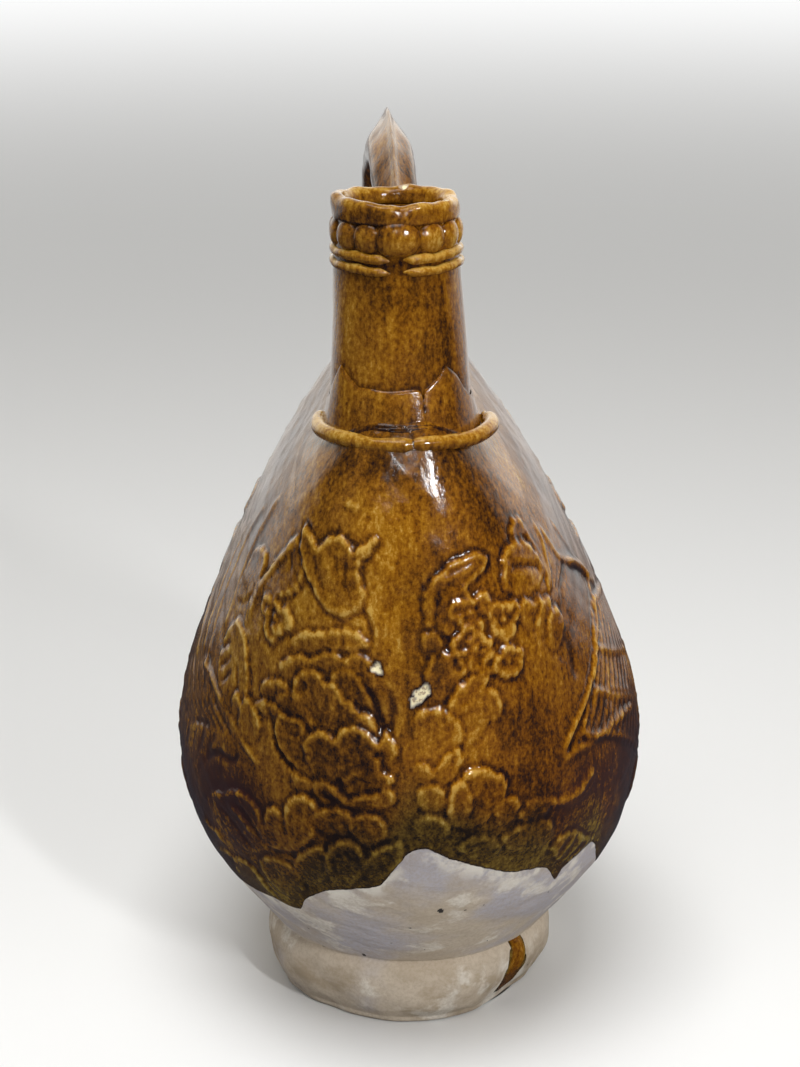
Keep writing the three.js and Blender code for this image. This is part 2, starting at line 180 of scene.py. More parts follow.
# %% Shader arithmetic
class Flow:
    """One output socket of a node tree. Arithmetic on it adds Math nodes."""

    def __init__(self, tree, socket):
        self.tree = tree
        self.socket = socket

    def make(self, kind, settings, inputs, output=0):
        """A new node with its settings, then its input sockets, as one of its outputs."""
        node = self.tree.nodes.new(kind)
        for key, value in settings.items():
            if key == "stops":
                stops = node.color_ramp.elements
                while len(stops) < len(value):
                    stops.new(1.0)
                for stop, (where, colour) in zip(stops, value):
                    stop.position, stop.color = where, (*colour, 1)
            else:
                setattr(node, key, value)
        for key, value in inputs.items():
            if isinstance(value, Flow):
                self.tree.links.new(value.socket, node.inputs[key])
            else:
                node.inputs[key].default_value = value
        return Flow(self.tree, node.outputs[output])

    def math(self, operation, first, second):
        return self.make("ShaderNodeMath", {"operation": operation}, {0: first, 1: second})

    def __add__(self, other):
        return self.math("ADD", self, other)

    def __sub__(self, other):
        return self.math("SUBTRACT", self, other)

    def __rsub__(self, other):
        return self.math("SUBTRACT", other, self)

    def __mul__(self, other):
        return self.math("MULTIPLY", self, other)

    __radd__ = __add__
    __rmul__ = __mul__

    def step(self, low, high):
        """0 below low, 1 above high, smooth between. High may be the smaller."""
        settings = {"interpolation_type": "SMOOTHSTEP"}
        return self.make("ShaderNodeMapRange", settings, {"Value": self, "From Min": low, "From Max": high})

    def noise(self, stretch, detail=3.0, rough=0.55):
        """Noise from 0 to 1 over this vector, with so many features per metre along x, y and z."""
        spread = self.make("ShaderNodeVectorMath", {"operation": "MULTIPLY"}, {0: self, 1: stretch})
        inputs = {"Vector": spread, "Scale": 1.0, "Detail": detail, "Roughness": rough}
        return self.make("ShaderNodeTexNoise", {}, inputs)

    def tint(self, low, high):
        """From colour low at 0 to colour high at 1."""
        low, high = (end if isinstance(end, Flow) else (*end, 1) for end in (low, high))
        return self.make("ShaderNodeMix", {"data_type": "RGBA"}, {0: self, 6: low, 7: high}, output=2)

    def part(self, axis):
        """The x, y or z part of this vector, by its number."""
        return self.make("ShaderNodeSeparateXYZ", {}, {0: self}, output=axis)

    def attribute(self, name):
        return self.make("ShaderNodeAttribute", {"attribute_name": name}, {}, output=2)


def new_material(name):
    """A node material, a Flow on its object coordinates, and its shader."""
    material = bpy.data.materials.new(name)
    material.use_nodes = True
    tree = material.node_tree
    shader = tree.nodes["Principled BSDF"]
    spots = tree.nodes.new("ShaderNodeTexCoord")
    return material, Flow(tree, spots.outputs["Object"]), shader


def feed(flow, shader, name):
    flow.tree.links.new(flow.socket, shader.inputs[name])


def roughen(heights, shader):
    """Small heights in millimetres on the surface of a shader."""
    bump = {"Strength": 1.0, "Distance": MM, "Height": heights}
    feed(heights.make("ShaderNodeBump", {}, bump), shader, "Normal")


# %% [markdown]
# ## The clays and the glaze
#
# The glaze is glass over clay: thin and golden on every raised edge, dark where it pools in a hollow,
# streaked down the walls where it ran, and olive brown and thick along its lower edge. So its colour
# follows three numbers that each mesh carries on its points: **ridge**, how far a point stands over its
# surroundings, with painted light and shade added to it, **glaze**, its distance above the glaze's lower
# edge in millimetres, and **chip**, where the glaze has broken away. The painted light in ridge makes the
# upper edges of forms and the tops of the cords lighter, and their lower edges, the neck under the lip,
# beads and cords, the sleeve's skirt and slit and some patches on the body darker. The glaze is also
# painted darker on the lower body, as shade, and plum on its lower flanks, as a reflection. The bare clay
# is pale grey with rubbed patches of white slip.

# %% Glaze and clay colours
# Stops of the glaze from its darkest pools to its thinnest edges.
AMBER = [
    (0.0, (0.014, 0.005, 0.005)),
    (0.25, (0.066, 0.021, 0.0025)),
    (0.5, (0.195, 0.064, 0.003)),
    (0.75, (0.33, 0.136, 0.006)),
    (1.0, (0.51, 0.285, 0.050)),
]
OLIVE = [
    (0.0, (0.010, 0.006, 0.004)),
    (0.3, (0.055, 0.030, 0.006)),
    (0.55, (0.135, 0.078, 0.012)),
    (0.8, (0.25, 0.165, 0.028)),
    (1.0, (0.38, 0.280, 0.080)),
]
# A plum colour painted on the lower flanks as a reflection.
PLUM_REFLECTION = (0.042, 0.015, 0.014)
DARK_RIM = (0.016, 0.008, 0.006)
CREAM = (0.64, 0.54, 0.42)
# Lilac grey: the clay's own grey with a painted bounce of blue light in it.
LILAC_WITH_BOUNCE = (0.52, 0.49, 0.52)
SLIP_WHITE = (0.86, 0.80, 0.70)
EARTH = (0.40, 0.30, 0.19)
CHIP = (0.78, 0.69, 0.44)
SPECK = (0.05, 0.042, 0.038)


def clay_colour(spots):
    """Bare clay: lilac grey, partly a painted bounce of blue light, cream on the foot, with pale slip, earth
    stains and dark specks.
    """
    height = spots.part(2)
    tone = spots.noise((22, 22, 30), detail=4) + 0.16 * height.step(0.027, 0.021)
    strokes = spots.noise((48, 90, 60), detail=5, rough=0.6).step(0.53, 0.63)
    stains = spots.noise((36, 36, 60), detail=5, rough=0.6).step(0.47, 0.60)
    grain = spots.noise((900, 900, 900), detail=3, rough=0.7)
    specks = spots.noise((260, 260, 260), detail=1).step(0.765, 0.785)
    colour = tone.step(0.42, 0.62).tint(LILAC_WITH_BOUNCE, CREAM)
    colour = (stains * (0.18 + 0.5 * height.step(0.026, 0.012))).tint(colour, EARTH)
    colour = (strokes * 0.75).tint(colour, SLIP_WHITE)
    colour = (grain.step(0.6, 0.36) * 0.3).tint(colour, EARTH)
    return specks.tint(colour, SPECK)


def glaze_colour(spots, ridge, glaze):
    """Amber glaze: gold on ridges, brown in hollows, olive where thick at its lower edge, with painted shade
    low down and a painted plum reflection on the lower flanks.
    """
    streaks = spots.noise((430, 430, 70), detail=5, rough=0.6)
    mottle = spots.noise((760, 760, 560), detail=4, rough=0.75)
    clouds = spots.noise((34, 34, 26), detail=3)
    height = spots.part(2)
    # Painted shade: the glaze is darker on the lower body, as if lit from above.
    light = 0.52 + 0.36 * ridge - 0.12 * height.step(0.14, 0.08)
    light = light + 0.75 * (streaks - 0.5) + 1.4 * (mottle - 0.5) + 1.2 * (clouds - 0.5)
    pooled = (glaze + 26.0 * (clouds - 0.5)).step(34.0, 8.0)
    amber = light.make("ShaderNodeValToRGB", {"stops": AMBER}, {0: light})
    olive = light.make("ShaderNodeValToRGB", {"stops": OLIVE}, {0: light})
    across = spots.part(0)
    brown = (across + 0.09 * (clouds - 0.5)).step(0.03, -0.03) * 0.35
    colour = pooled.tint(brown.tint(amber, olive), olive)
    # Painted reflection: the lower flanks turn plum where the glaze is dark.
    reflecting_flanks = spots.math("ABSOLUTE", across, 0.0).step(0.036, 0.056) * height.step(0.112, 0.088)
    return (reflecting_flanks * light.step(0.75, 0.3) * 0.85).tint(colour, PLUM_REFLECTION)


def glaze_gloss(spots, shader):
    """A hard shine over a wavy, pitted skin, which breaks every reflection into glints."""
    feed(spots.noise((90, 90, 60), detail=4).step(0.3, 0.75) * 0.12 + 0.09, shader, "Roughness")
    waves = 0.22 * spots.noise((190, 190, 120), detail=3)
    dimples = 0.10 * spots.noise((640, 640, 420), detail=3, rough=0.6)
    pits = 0.025 * spots.noise((2200, 2200, 2200), detail=1)
    roughen(waves + dimples + pits, shader)
    shader.inputs["Coat Weight"].default_value = 0.25
    shader.inputs["Coat Roughness"].default_value = 0.07
    shader.inputs["IOR"].default_value = 1.48


def clay_finish(spots, shader):
    """Dry clay, uneven from the hand and grainy to the touch."""
    shader.inputs["Roughness"].default_value = 0.82
    grain = 0.06 * spots.noise((1100, 1100, 1100), detail=3) + 0.9 * spots.noise((110, 150, 130), detail=4)
    roughen(grain, shader)
    feed(clay_colour(spots), shader, "Base Color")


# %% Finishes
# Glazed pieces
glazed, spots, shader = new_material("amber_over_clay")
feed(glaze_colour(spots, spots.attribute("ridge"), spots.attribute("glaze")), shader, "Base Color")
glaze_gloss(spots, shader)

# Bare pieces
bare, spots, shader = new_material("fired_clay")
clay_finish(spots, shader)

# The body and the foot, part glazed and part bare
dipped, spots, clay_shader = new_material("dipped_clay")
clay_finish(spots, clay_shader)
tree = spots.tree
glass = tree.nodes.new("ShaderNodeBsdfPrincipled")
glaze = spots.attribute("glaze")
ridge, chip = spots.attribute("ridge"), spots.attribute("chip")
slip = glaze.step(-11.0, -1.0) * spots.noise((80, 80, 50), detail=5, rough=0.6).step(0.48, 0.6)
clay = (slip * 0.9).tint(clay_colour(spots), SLIP_WHITE)
grit = spots.noise((700, 700, 700), detail=2).step(0.40, 0.50).tint(EARTH, CHIP)
feed(ridge.step(1.6, 2.4).tint(chip.tint(clay, grit), SPECK), clay_shader, "Base Color")
ragged = glaze + 1.6 * (spots.noise((380, 380, 380), detail=3) - 0.5)
covered = ragged.step(-0.15, 0.15) * (1.0 - chip)
rim = ragged.step(1.3, 0.2) * 0.85
feed(rim.tint(glaze_colour(spots, ridge, glaze), DARK_RIM), glass, "Base Color")
glaze_gloss(spots, glass)
blend = tree.nodes.new("ShaderNodeMixShader")
tree.links.new(covered.socket, blend.inputs[0])
tree.links.new(clay_shader.outputs[0], blend.inputs[1])
tree.links.new(glass.outputs[0], blend.inputs[2])
tree.links.new(blend.outputs[0], tree.nodes["Material Output"].inputs["Surface"])

print("finishes:", [finish.name for finish in (glazed, bare, dipped)])

# %% [markdown]
# ## Room and floor
#
# The room is bright only well behind the flask and dim behind the camera. That gives the long grey sheen
# down the two edges of the body and leaves the amber of the front deep. To the camera the room and the
# floor are pale. To reflections the floor is pale only far behind, and it gives matt surfaces less than
# half its light, so that it does not light the belly from below.

# %% Room and floor
PALE = (0.84, 0.84, 0.83)
DIM_ROOM, BRIGHT_ROOM = (0.03, 0.03, 0.033), (1.35, 1.30, 1.2)
DIM_FLOOR, FAR_FLOOR = (0.04, 0.04, 0.05), (0.80, 0.81, 0.82)


def light_path(flow, output):
    return flow.make("ShaderNodeLightPath", {}, {}, output)


room = bpy.data.worlds.new("room")
scene.world = room
room.use_nodes = True
background = room.node_tree.nodes["Background"]
direction = Flow(room.node_tree, room.node_tree.nodes.new("ShaderNodeTexCoord").outputs["Generated"])
behind, overhead = direction.part(1), direction.part(2)
to_camera = light_path(direction, "Is Camera Ray")
glow = behind.step(0.2, 0.85).tint(DIM_ROOM, BRIGHT_ROOM)
feed(to_camera.tint(glow, PALE), background, "Color")
feed(1.0 - overhead.step(0.25, 0.8) * (1.0 - to_camera) * 0.65, background, "Strength")

paper, spots, shader = new_material("pale_floor")
kinds = ("Is Camera Ray", "Is Diffuse Ray", "Is Glossy Ray")
to_camera, to_matt, to_gloss = (light_path(spots, kind) for kind in kinds)
rearward = spots.part(1).step(0.4, 1.0)
pale = to_camera + to_matt * 0.45 + to_gloss * rearward
feed(pale.tint(DIM_FLOOR, PALE), shader, "Base Color")
far_off = spots.make("ShaderNodeVectorMath", {"operation": "LENGTH"}, {0: spots}, output=1).step(0.5, 4.0)
glow = far_off * to_camera + to_gloss * rearward * 0.4
feed(glow.tint((0, 0, 0), FAR_FLOOR), shader, "Emission Color")
shader.inputs["Emission Strength"].default_value = 1.0
shader.inputs["Roughness"].default_value = 0.9
shader.inputs["Specular IOR Level"].default_value = 0.1
floor_mesh.materials.append(paper)
print("room and floor:", room.name, paper.name)

# %% [markdown]
# ## Small geometry tools
#
# Every piece of trim is a section swept along something: a ring, a half ring or an arch. One function joins
# a stack of sections into a closed skin, and one turns points and faces into an object that rides on the
# frame and stands for its solids.

# %% Geometry tools
LEAN = 0.026
BELLY = 103.0
FAR_ABOVE = 80.0  # a glaze distance for pieces that are glazed all over


def leaned(points):
    """The hand-built flask leans a little to its left above the belly."""
    moved = np.array(points, float)
    moved[..., 0] -= LEAN * np.maximum(0, moved[..., 2] - BELLY)
    return moved


def ease(value, low, high):
    """0 at low, 1 at high, smooth between."""
    share = np.clip((value - low) / (high - low), 0, 1)
    return share * share * (3 - 2 * share)


def hump(value, middle, width):
    """1 at the middle, falling off softly to both sides."""
    return np.exp(-(((value - middle) / width) ** 2))


def wobble(points, size, height):
    """A slow unevenness of the hand, from -height to height, over about this size."""
    turns = 2 * math.pi * np.asarray(points) / size
    waves = np.sin(turns @ (0.7, 0.4, 0.5) + 1) + np.sin(turns @ (-0.3, 0.8, 0.6) + 2)
    waves += np.sin(turns @ (0.5, -0.6, 0.9))
    return height * waves / 3


def through(points, closed=False, steps=8):
    """A smooth line through points, by the centripetal Catmull-Rom rule."""
    points = np.asarray(points, float)
    if closed:
        run = np.concatenate([points[-1:], points, points[:2]])
    else:
        run = np.concatenate([2 * points[:1] - points[1:2], points, 2 * points[-1:] - points[-2:-1]])
    knots = np.sqrt(np.maximum(np.linalg.norm(np.diff(run, axis=0), axis=1), 1e-4))
    share = np.linspace(0, 1, steps, endpoint=False)[:, None]
    pieces = []
    for i in range(len(run) - 3):
        a, b, c, d = run[i : i + 4]
        before, span, after = knots[i : i + 3]
        leave = ((b - a) / before - (c - a) / (before + span) + (c - b) / span) * span
        arrive = ((c - b) / span - (d - b) / (span + after) + (d - c) / after) * span
        cubic = 2 * (b - c) + leave + arrive
        square = 3 * (c - b) - 2 * leave - arrive
        pieces.append(b + leave * share + square * share**2 + cubic * share**3)
    last = points[:1] if closed else points[-1:]
    return np.concatenate(pieces + [last])


def evenly(line, count):
    """The same line as count points, evenly spaced along it."""
    length = np.concatenate([[0], np.cumsum(np.linalg.norm(np.diff(line, axis=0), axis=1))])
    wanted = np.linspace(0, length[-1], count)
    return np.stack([np.interp(wanted, length, line[:, k]) for k in range(line.shape[1])], -1)


def sweep(rings, wrap=False):
    """Points and faces of a skin over rings. Its ends are closed by fans, unless the rings wrap round."""
    count, size = rings.shape[:2]
    points = rings.reshape(-1, 3)
    index = np.arange(count * size).reshape(count, size)
    below = index if wrap else index[:-1]
    above = np.roll(index, -1, axis=0) if wrap else index[1:]
    quads = np.stack([below, np.roll(below, -1, 1), np.roll(above, -1, 1), above], -1)
    faces = quads.reshape(-1, 4).tolist()
    if not wrap:
        for ring in (index[0], index[-1]):
            middle = len(points)
            points = np.concatenate([points, points[ring].mean(0, keepdims=True)])
            faces += [[a, b, middle] for a, b in zip(ring.tolist(), np.roll(ring, -1).tolist())]
    return points, faces


def place(piece, nodes, slot):
    """The piece rides on the flask and stands for its solids, which it hides. Its slot is not used."""
    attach(piece, "root")
    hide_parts(*nodes)
    print("made:", piece.name, len(piece.data.polygons), "faces, for", len(nodes), "solids")
    return piece


def build(name, points, faces, material, sharp=50, **numbers):
    """An object from points in millimetres, smooth except at sharp edges, with numbers on its points."""
    mesh = bpy.data.meshes.new(name)
    mesh.from_pydata((leaned(points) * MM).tolist(), [], faces)
    for key in ("ridge", "glaze", "chip"):
        values = np.zeros(len(points)) + numbers.get(key, FAR_ABOVE if key == "glaze" else 0)
        mesh.attributes.new(key, "FLOAT", "POINT").data.foreach_set("value", values.astype(np.float32))
    shell = bmesh.new()
    shell.from_mesh(mesh)
    bmesh.ops.recalc_face_normals(shell, faces=shell.faces)
    shell.to_mesh(mesh)
    shell.free()
    mesh.shade_smooth()
    mesh.set_sharp_from_angle(angle=math.radians(sharp))
    mesh.materials.append(material)
    piece = bpy.data.objects.new(name, mesh)
    scene.collection.objects.link(piece)
    return piece


# %% [markdown]
# ## The body's surface
#
# The body is a bag: round at the foot, oval at the belly, drawn in to a thin ridge at the top, with a
# fuller corner under the spout. Three smooth outlines, of its side, front and rear, carry it, and each ring
# between them is an oval with their reach. The points of a ring are spaced evenly round it, and a little
# closer at the front, where the photograph shows the finest carving.

# %% Body surface
# One row for each station: height, half thickness, reach to the front and reach to the rear.
STATIONS = np.array(
    [
        (24.3, 45.5, 45.5, 45.5),
        (60.0, 69.3, 75.0, 75.0),
        (103.0, 72.1, 92.0, 92.0),
        (166.0, 46.6, 86.0, 84.0),
        (202.0, 24.6, 76.15, 59.0),
        (219.0, 10.0, 62.0, 43.0),
    ]
)
SHOULDER = 202.0
FRONT_FULLNESS = 3.0
WALL = 5.5
RIDGE_CROWN = 2.4
SPOUT_Y = -50.0
BODY_HOLE = 15.5
SEAM_HALF_GAP = 0.012


def outline(column, shares, grow):
    """Reach and height at shares of the way up one outline, moved out square to it by grow."""
    knots = STATIONS[:, [column, 0]]
    last = len(knots) - 1
    spot = shares * last
    i = np.minimum(spot.astype(int), last - 1)
    w = (spot - i)[:, None]
    a, b, c, d = (knots[np.clip(i + k, 0, last)] for k in (-1, 0, 1, 2))
    leave, arrive = (c - a) / 2, (d - b) / 2
    cubic = 2 * (b - c) + leave + arrive
    square = 3 * (c - b) - 2 * leave - arrive
    along = leave + 2 * square * w + 3 * cubic * w**2
    along /= np.linalg.norm(along, axis=1, keepdims=True)
    return b + leave * w + square * w**2 + cubic * w**3 + grow * np.stack([along[:, 1], -along[:, 0]], 1)


def body_rings(ups, rounds, grow=0.0):
    """The right half of the body: a row of points for each share of the way up, front seam to rear seam."""
    side, front, rear = (outline(column, ups, grow) for column in (1, 2, 3))
    climb = ease(side[:, 1], BELLY, SHOULDER)
    fullness = 2 / (2 + (FRONT_FULLNESS - 2) * climb)
    share = np.linspace(0, 1, 700)
    quarter = math.pi / 2
    turn = np.concatenate([quarter * ease(share, 0, 1), quarter * (1 + share[1:])])
    across, ahead = np.sin(turn), np.cos(turn)
    in_front = turn <= quarter
    power = np.where(in_front, fullness[:, None], 1.0)
    end = np.where(in_front[None, :, None], front[:, None], rear[:, None])
    x = side[:, None, 0] * np.maximum(across, 0) ** power
    y = -end[..., 0] * np.sign(ahead) * np.abs(ahead) ** power
    z = side[:, None, 1] * across**2 + end[..., 1] * ahead**2
    rings = np.stack([x, y, z], -1)
    length = np.cumsum(np.linalg.norm(np.diff(rings, axis=1), axis=2), axis=1)
    length = np.concatenate([np.zeros((len(rings), 1)), length], 1)
    even = []
    for run, ring in zip(length, rings):
        even.append([np.interp(rounds * run[-1], run, ring[:, k]) for k in range(3)])
    return np.moveaxis(np.array(even), 1, -1)


def roofed(rows, crown, count):
    """The rows with count more on top, which close the ridge over to the seam."""
    last = rows[-1]
    close = np.linspace(0, math.pi / 2, count + 1)[1:, None]
    draw = 1 - 0.06 * np.sin(close)
    roof = np.stack([last[:, 0] * np.cos(close), last[:, 1] * draw, last[:, 2] + crown * np.sin(close)], -1)
    roof[-1, :, 0] = 0
    return np.concatenate([rows, roof])


def rows_by_length(count):
    """Shares of the way up that lie evenly along the body's wall."""
    dense = np.linspace(0, 1, 2000)
    line = (outline(1, dense, 0) + outline(2, dense, 0)) / 2
    length = np.concatenate([[0], np.cumsum(np.linalg.norm(np.diff(line, axis=0), axis=1))])
    return np.interp(np.linspace(0, length[-1], count), length, dense)


BODY_ROWS, BODY_COLUMNS, ROOF_ROWS = ((286, 318, 8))
FRONT_CLOSENESS = 0.72
even = np.linspace(0, 1, BODY_COLUMNS)
rounds = even * (FRONT_CLOSENESS + (1 - FRONT_CLOSENESS) * even)
right_half = roofed(body_rings(rows_by_length(BODY_ROWS), rounds), RIDGE_CROWN, ROOF_ROWS)
right_half[:, [0, -1], 0] = 0

# Unrolled places: how far round from the front seam, and how far up the wall from the foot.
round_steps = np.linalg.norm(np.diff(right_half, axis=1), axis=2)
up_steps = np.linalg.norm(np.diff(right_half, axis=0), axis=2)
far_round = np.concatenate([np.zeros((len(right_half), 1)), np.cumsum(round_steps, 1)], 1)
far_up = np.concatenate([np.zeros((1, BODY_COLUMNS)), np.cumsum(up_steps, 0)])
along_row = np.gradient(right_half, axis=1)
along_column = np.gradient(right_half, axis=0)
facing = np.cross(along_row, along_column)
facing /= np.maximum(np.linalg.norm(facing, axis=2, keepdims=True), 1e-9)
mirror = np.array([-1.0, 1.0, 1.0])
print("body wall: half way round", far_round.max().round(), "mm, up", far_up.max().round(), "mm")

# %% [markdown]
# ## From the photograph to the clay
#
# The visible carving is given by pixels of the photograph, since that is where it was read. Each pixel is
# sent down its line of sight to the nearest place on the bare body, and from there on the carving is in
# millimetres on the unrolled wall: how far round from the front seam, right being positive, and how far up.

# %% From pixels to the wall
both_places = np.stack([right_half * mirror, right_half])
both_facing = np.stack([facing * mirror, facing])
both_round = np.stack([-far_round, far_round])
both_up = np.stack([far_up, far_up])
both_pixels = pixels_of(leaned(both_places))
toward = CAMERA_PLACE - both_places
faces_camera = (both_facing * toward).sum(-1) > 0


def slopes(chart, row, column):
    """How a chart of one half changes from row to row and from column to column."""
    upward = chart[row + 1, column] - chart[row - 1, column]
    onward = chart[row, column + 1] - chart[row, column - 1]
    return np.stack([upward, onward], -1)


def on_wall(pixels):
    """Round and up, in millimetres, of photograph pixels on the bare body."""
    found = []
    for pixel in np.asarray(pixels, float):
        away = np.where(faces_camera, ((both_pixels - pixel) ** 2).sum(-1), np.inf)
        half, row, column = np.unravel_index(np.argmin(away), away.shape)
        row = min(max(row, 1), both_pixels.shape[1] - 2)
        column = min(max(column, 1), both_pixels.shape[2] - 2)
        nearby = both_pixels[half]
        move = np.linalg.solve(slopes(nearby, row, column), pixel - nearby[row, column])
        move = np.clip(move, -1.5, 1.5)
        charts = both_round[half], both_up[half]
        found.append([chart[row, column] + move @ slopes(chart, row, column) for chart in charts])
    return np.array(found)


# %% [markdown]
# ## Carving tools
#
# A mould carver works with a few cuts: a raised petal or leaf with a crisp edge and a groove outside it, a
# ridge or a vein along a line, and a fan of fine barbs. Each of these works on the heights of the unrolled
# wall, in millimetres over the bare clay, and a later petal covers an earlier one as a laid-on piece does.

# %% Carving tools
wall = np.stack([both_round.ravel(), both_up.ravel()], 1)
carved = np.zeros(len(wall))
FOLD = 4.4  # length of petal edge to one fold
SPREAD = 0.6  # how far a pressed form spreads past its drawing
UPWARD = (0.0, 1.0)
PETAL_HEIGHT = 0.85


def mirrored(half, tip):
    """A whole outline from its left half and its tip."""
    return half + [tip] + [(along, -out) for along, out in reversed(half)]


ROUND_PETAL = mirrored([(0.2, 0.1), (0.6, 0.42), (0.95, 0.3)], (1.02, 0))
NOTCHED_PETAL = mirrored([(0.25, 0.22), (0.6, 0.5), (0.92, 0.42), (1.04, 0.2)], (0.95, 0))


def near(line, margin):
    """Numbers of the wall's points in the box round a line."""
    return np.nonzero(((wall > line.min(0) - margin) & (wall < line.max(0) + margin)).all(1))[0]


def reach(points, line):
    """Distance from points to a line, and how far along it, from 0 to 1, the nearest place is."""
    best = np.full(len(points), np.inf)
    along = np.zeros(len(points))
    for i, (start, run) in enumerate(zip(line[:-1], np.diff(line, axis=0))):
        share = np.clip((points - start) @ run / max(run @ run, 1e-9), 0, 1)
        gap = np.hypot(*(points - start - share[:, None] * run).T)
        closer = gap < best
        best[closer] = gap[closer]
        along[closer] = (i + share[closer]) / (len(line) - 1)
    return best, along


def inside(points, line):
    """Which points lie inside a closed line."""
    x, y = points.T
    crossings = np.zeros(len(points), int)
    for (x0, y0), (x1, y1) in zip(line[:-1], line[1:]):
        crosses = (y0 > y) != (y1 > y)
        crossings += crosses & (x < (x1 - x0) * (y - y0) / (y1 - y0 + 1e-12) + x0)
    return crossings % 2 == 1


def petal(points, high=1.0, rim=0.2, groove=0.45, soft=2.6, flute=0.14, lean=UPWARD, root=0.2):
    """A raised form with this outline: crisp and fluted at the edge it leans to, low at its root."""
    line = through(points, closed=True, steps=6)
    spots = near(line, 3)
    gap, along = reach(wall[spots], line)
    depth = np.where(inside(wall[spots], line), gap, -gap) + SPREAD
    length = np.linalg.norm(np.diff(line, axis=0), axis=1).sum()
    turns = 2 * math.pi * along
    folds = np.cos(turns * max(3, round(length / FOLD)) + 1.6 * np.sin(2 * turns + line[0, 0]))
    depth += 2.0 * flute * folds * np.exp(-np.abs(depth) / 1.6)
    ahead = line @ lean
    share = (wall[spots] @ lean - ahead.min()) / np.ptp(ahead)
    stand = root + (1 - root) * ease(share, 0.02, 0.62)
    inner = np.maximum(depth, 0)
    form = PETAL_HEIGHT * high * (0.62 + 0.38 * np.exp(-inner / soft))
    form += rim * hump(depth, 0.7, 0.6) + flute * folds * np.exp(-inner / 3.6) * ease(depth, 0, 1.2)
    cover = ease(depth, -0.55, 0.35)
    trench = groove * (0.4 + 0.6 * stand) * hump(np.minimum(depth, 0), 0, 0.85) * (1 - cover)
    carved[spots] = carved[spots] * (1 - cover) + stand * form * cover - trench


def stroke(points, width=0.8, high=0.4, fade=0.2):
    """A ridge along a line, or a vein where high is below zero, fading out at both ends."""
    line = through(points, steps=6)
    spots = near(line, 3 * width)
    gap, along = reach(wall[spots], line)
    ends = ease(along, 0, fade) * ease(1 - along, 0, fade)
    carved[spots] += high * hump(gap, 0, width) * ends


def fan(start, end, count, width=0.6, high=-0.4, bow=0.0):
    """Fine lines from one line to another, bowed to one side by a share of their length."""
    starts, ends = evenly(through(start), count), evenly(through(end), count)
    for a, b in zip(starts, ends):
        square = np.array([a[1] - b[1], b[0] - a[0]])
        stroke([a, (a + b) / 2 + bow * square, b], width, high, fade=0.12)


def along_axis(base, tip, shape):
    """A shape given as shares along and beside the way from base to tip, in millimetres on the wall."""
    base, tip = np.asarray(base, float), np.asarray(tip, float)
    ahead = tip - base
    beside = np.array([-ahead[1], ahead[0]])
    shape = np.asarray(shape, float)
    return base + shape[:, :1] * ahead + shape[:, 1:] * beside


def leaf(base, tip, wide=0.32, high=0.9, veins=4):
    """A pointed leaf from its base to its tip, with a sunk midrib and side veins."""
    edge = [(0, 0), (0.18, 0.7), (0.42, 1), (0.7, 0.62), (0.88, 0.24)]
    left = [(along, wide * out) for along, out in edge]
    right = [(along, -wide * out) for along, out in reversed(edge[1:])]
    petal(along_axis(base, tip, left + [(1, 0)] + right), high)
    stroke(along_axis(base, tip, [(0.05, 0), (0.5, 0.02), (0.92, 0)]), 0.6, -0.45)
    for vein in np.linspace(0.2, 0.66, veins):
        for side in (-1, 1):
            line = [(vein, 0), (vein + 0.1, side * wide * 0.4), (vein + 0.16, side * wide * 0.66)]
            stroke(along_axis(base, tip, line), 0.5, -0.3)


def feather(base, tip, wide=0.16, bend=0.1, high=0.8, barbs=9):
    """A long plume with a raised shaft and slanting barbs."""
    shaft = lambda along: bend * math.sin(math.pi * along)
    edge = [(0, 0.25), (0.25, 0.7), (0.6, 1), (0.88, 0.8)]
    left = [(along, shaft(along) + wide * out) for along, out in edge]
    right = [(along, shaft(along) - wide * out) for along, out in reversed(edge)]
    petal(along_axis(base, tip, left + [(1, 0)] + right), high)
    for along in np.linspace(0.12, 0.8, barbs):
        for side in (-1, 1):
            out = side * wide
            barb = [(along, shaft(along) + out * 0.1), (along + 0.07, shaft(along + 0.07) + out * 0.8)]
            stroke(along_axis(base, tip, barb), 0.5, -0.32)
    stroke(along_axis(base, tip, [(along, shaft(along)) for along in np.linspace(0.02, 0.95, 6)]), 0.6, 0.35)


def blossom(middle, size, petals=5, turn=0.0, high=0.9):
    """A small open flower of round petals with a raised eye."""
    middle = np.asarray(middle)
    for k in range(petals):
        angle = turn + 2 * math.pi * k / petals + 0.35 * math.sin(5.3 * k + 11 * turn)
        length = size * (1 + 0.25 * math.sin(3.1 * k + 7 * turn))
        tip = middle + length * np.array([math.cos(angle), math.sin(angle)])
        petal(along_axis(middle, tip, ROUND_PETAL), high, soft=1.2, lean=tip - middle, root=0.4)
    ring = np.linspace(0, 2 * math.pi, 7)[:-1]
    petal(middle + 0.1 * size * np.stack([np.cos(ring), np.sin(ring)], 1), high * 1.1, rim=0, soft=0.8)


def peony(middle, size, turn=0.0, high=1.1):
    """A full flower: rings of notched petals that stand higher towards the heart, each with fine ribs."""
    middle = np.asarray(middle)
    for ring, (count, share) in enumerate(((8, 1.0), (6, 0.7), (4, 0.44))):
        for k in range(count):
            angle = turn + 0.4 * ring + 2 * math.pi * k / count
            tip = middle + share * size * np.array([math.cos(angle), math.sin(angle)])
            whole = along_axis(middle, tip, NOTCHED_PETAL)
            petal(whole, high * (0.8 + 0.2 * ring), rim=0.3, lean=tip - middle)
            for rib in (-0.2, 0, 0.2):
                stroke(along_axis(middle, tip, [(0.55, rib * 0.8), (0.9, rib)]), 0.5, -0.25)
    blossom(middle, 0.2 * size, 6, turn, high * 1.5)


def raised(high, *pixels, **looks):
    """A petal whose outline was read from the photograph."""
    petal(on_wall(pixels), high, **looks)


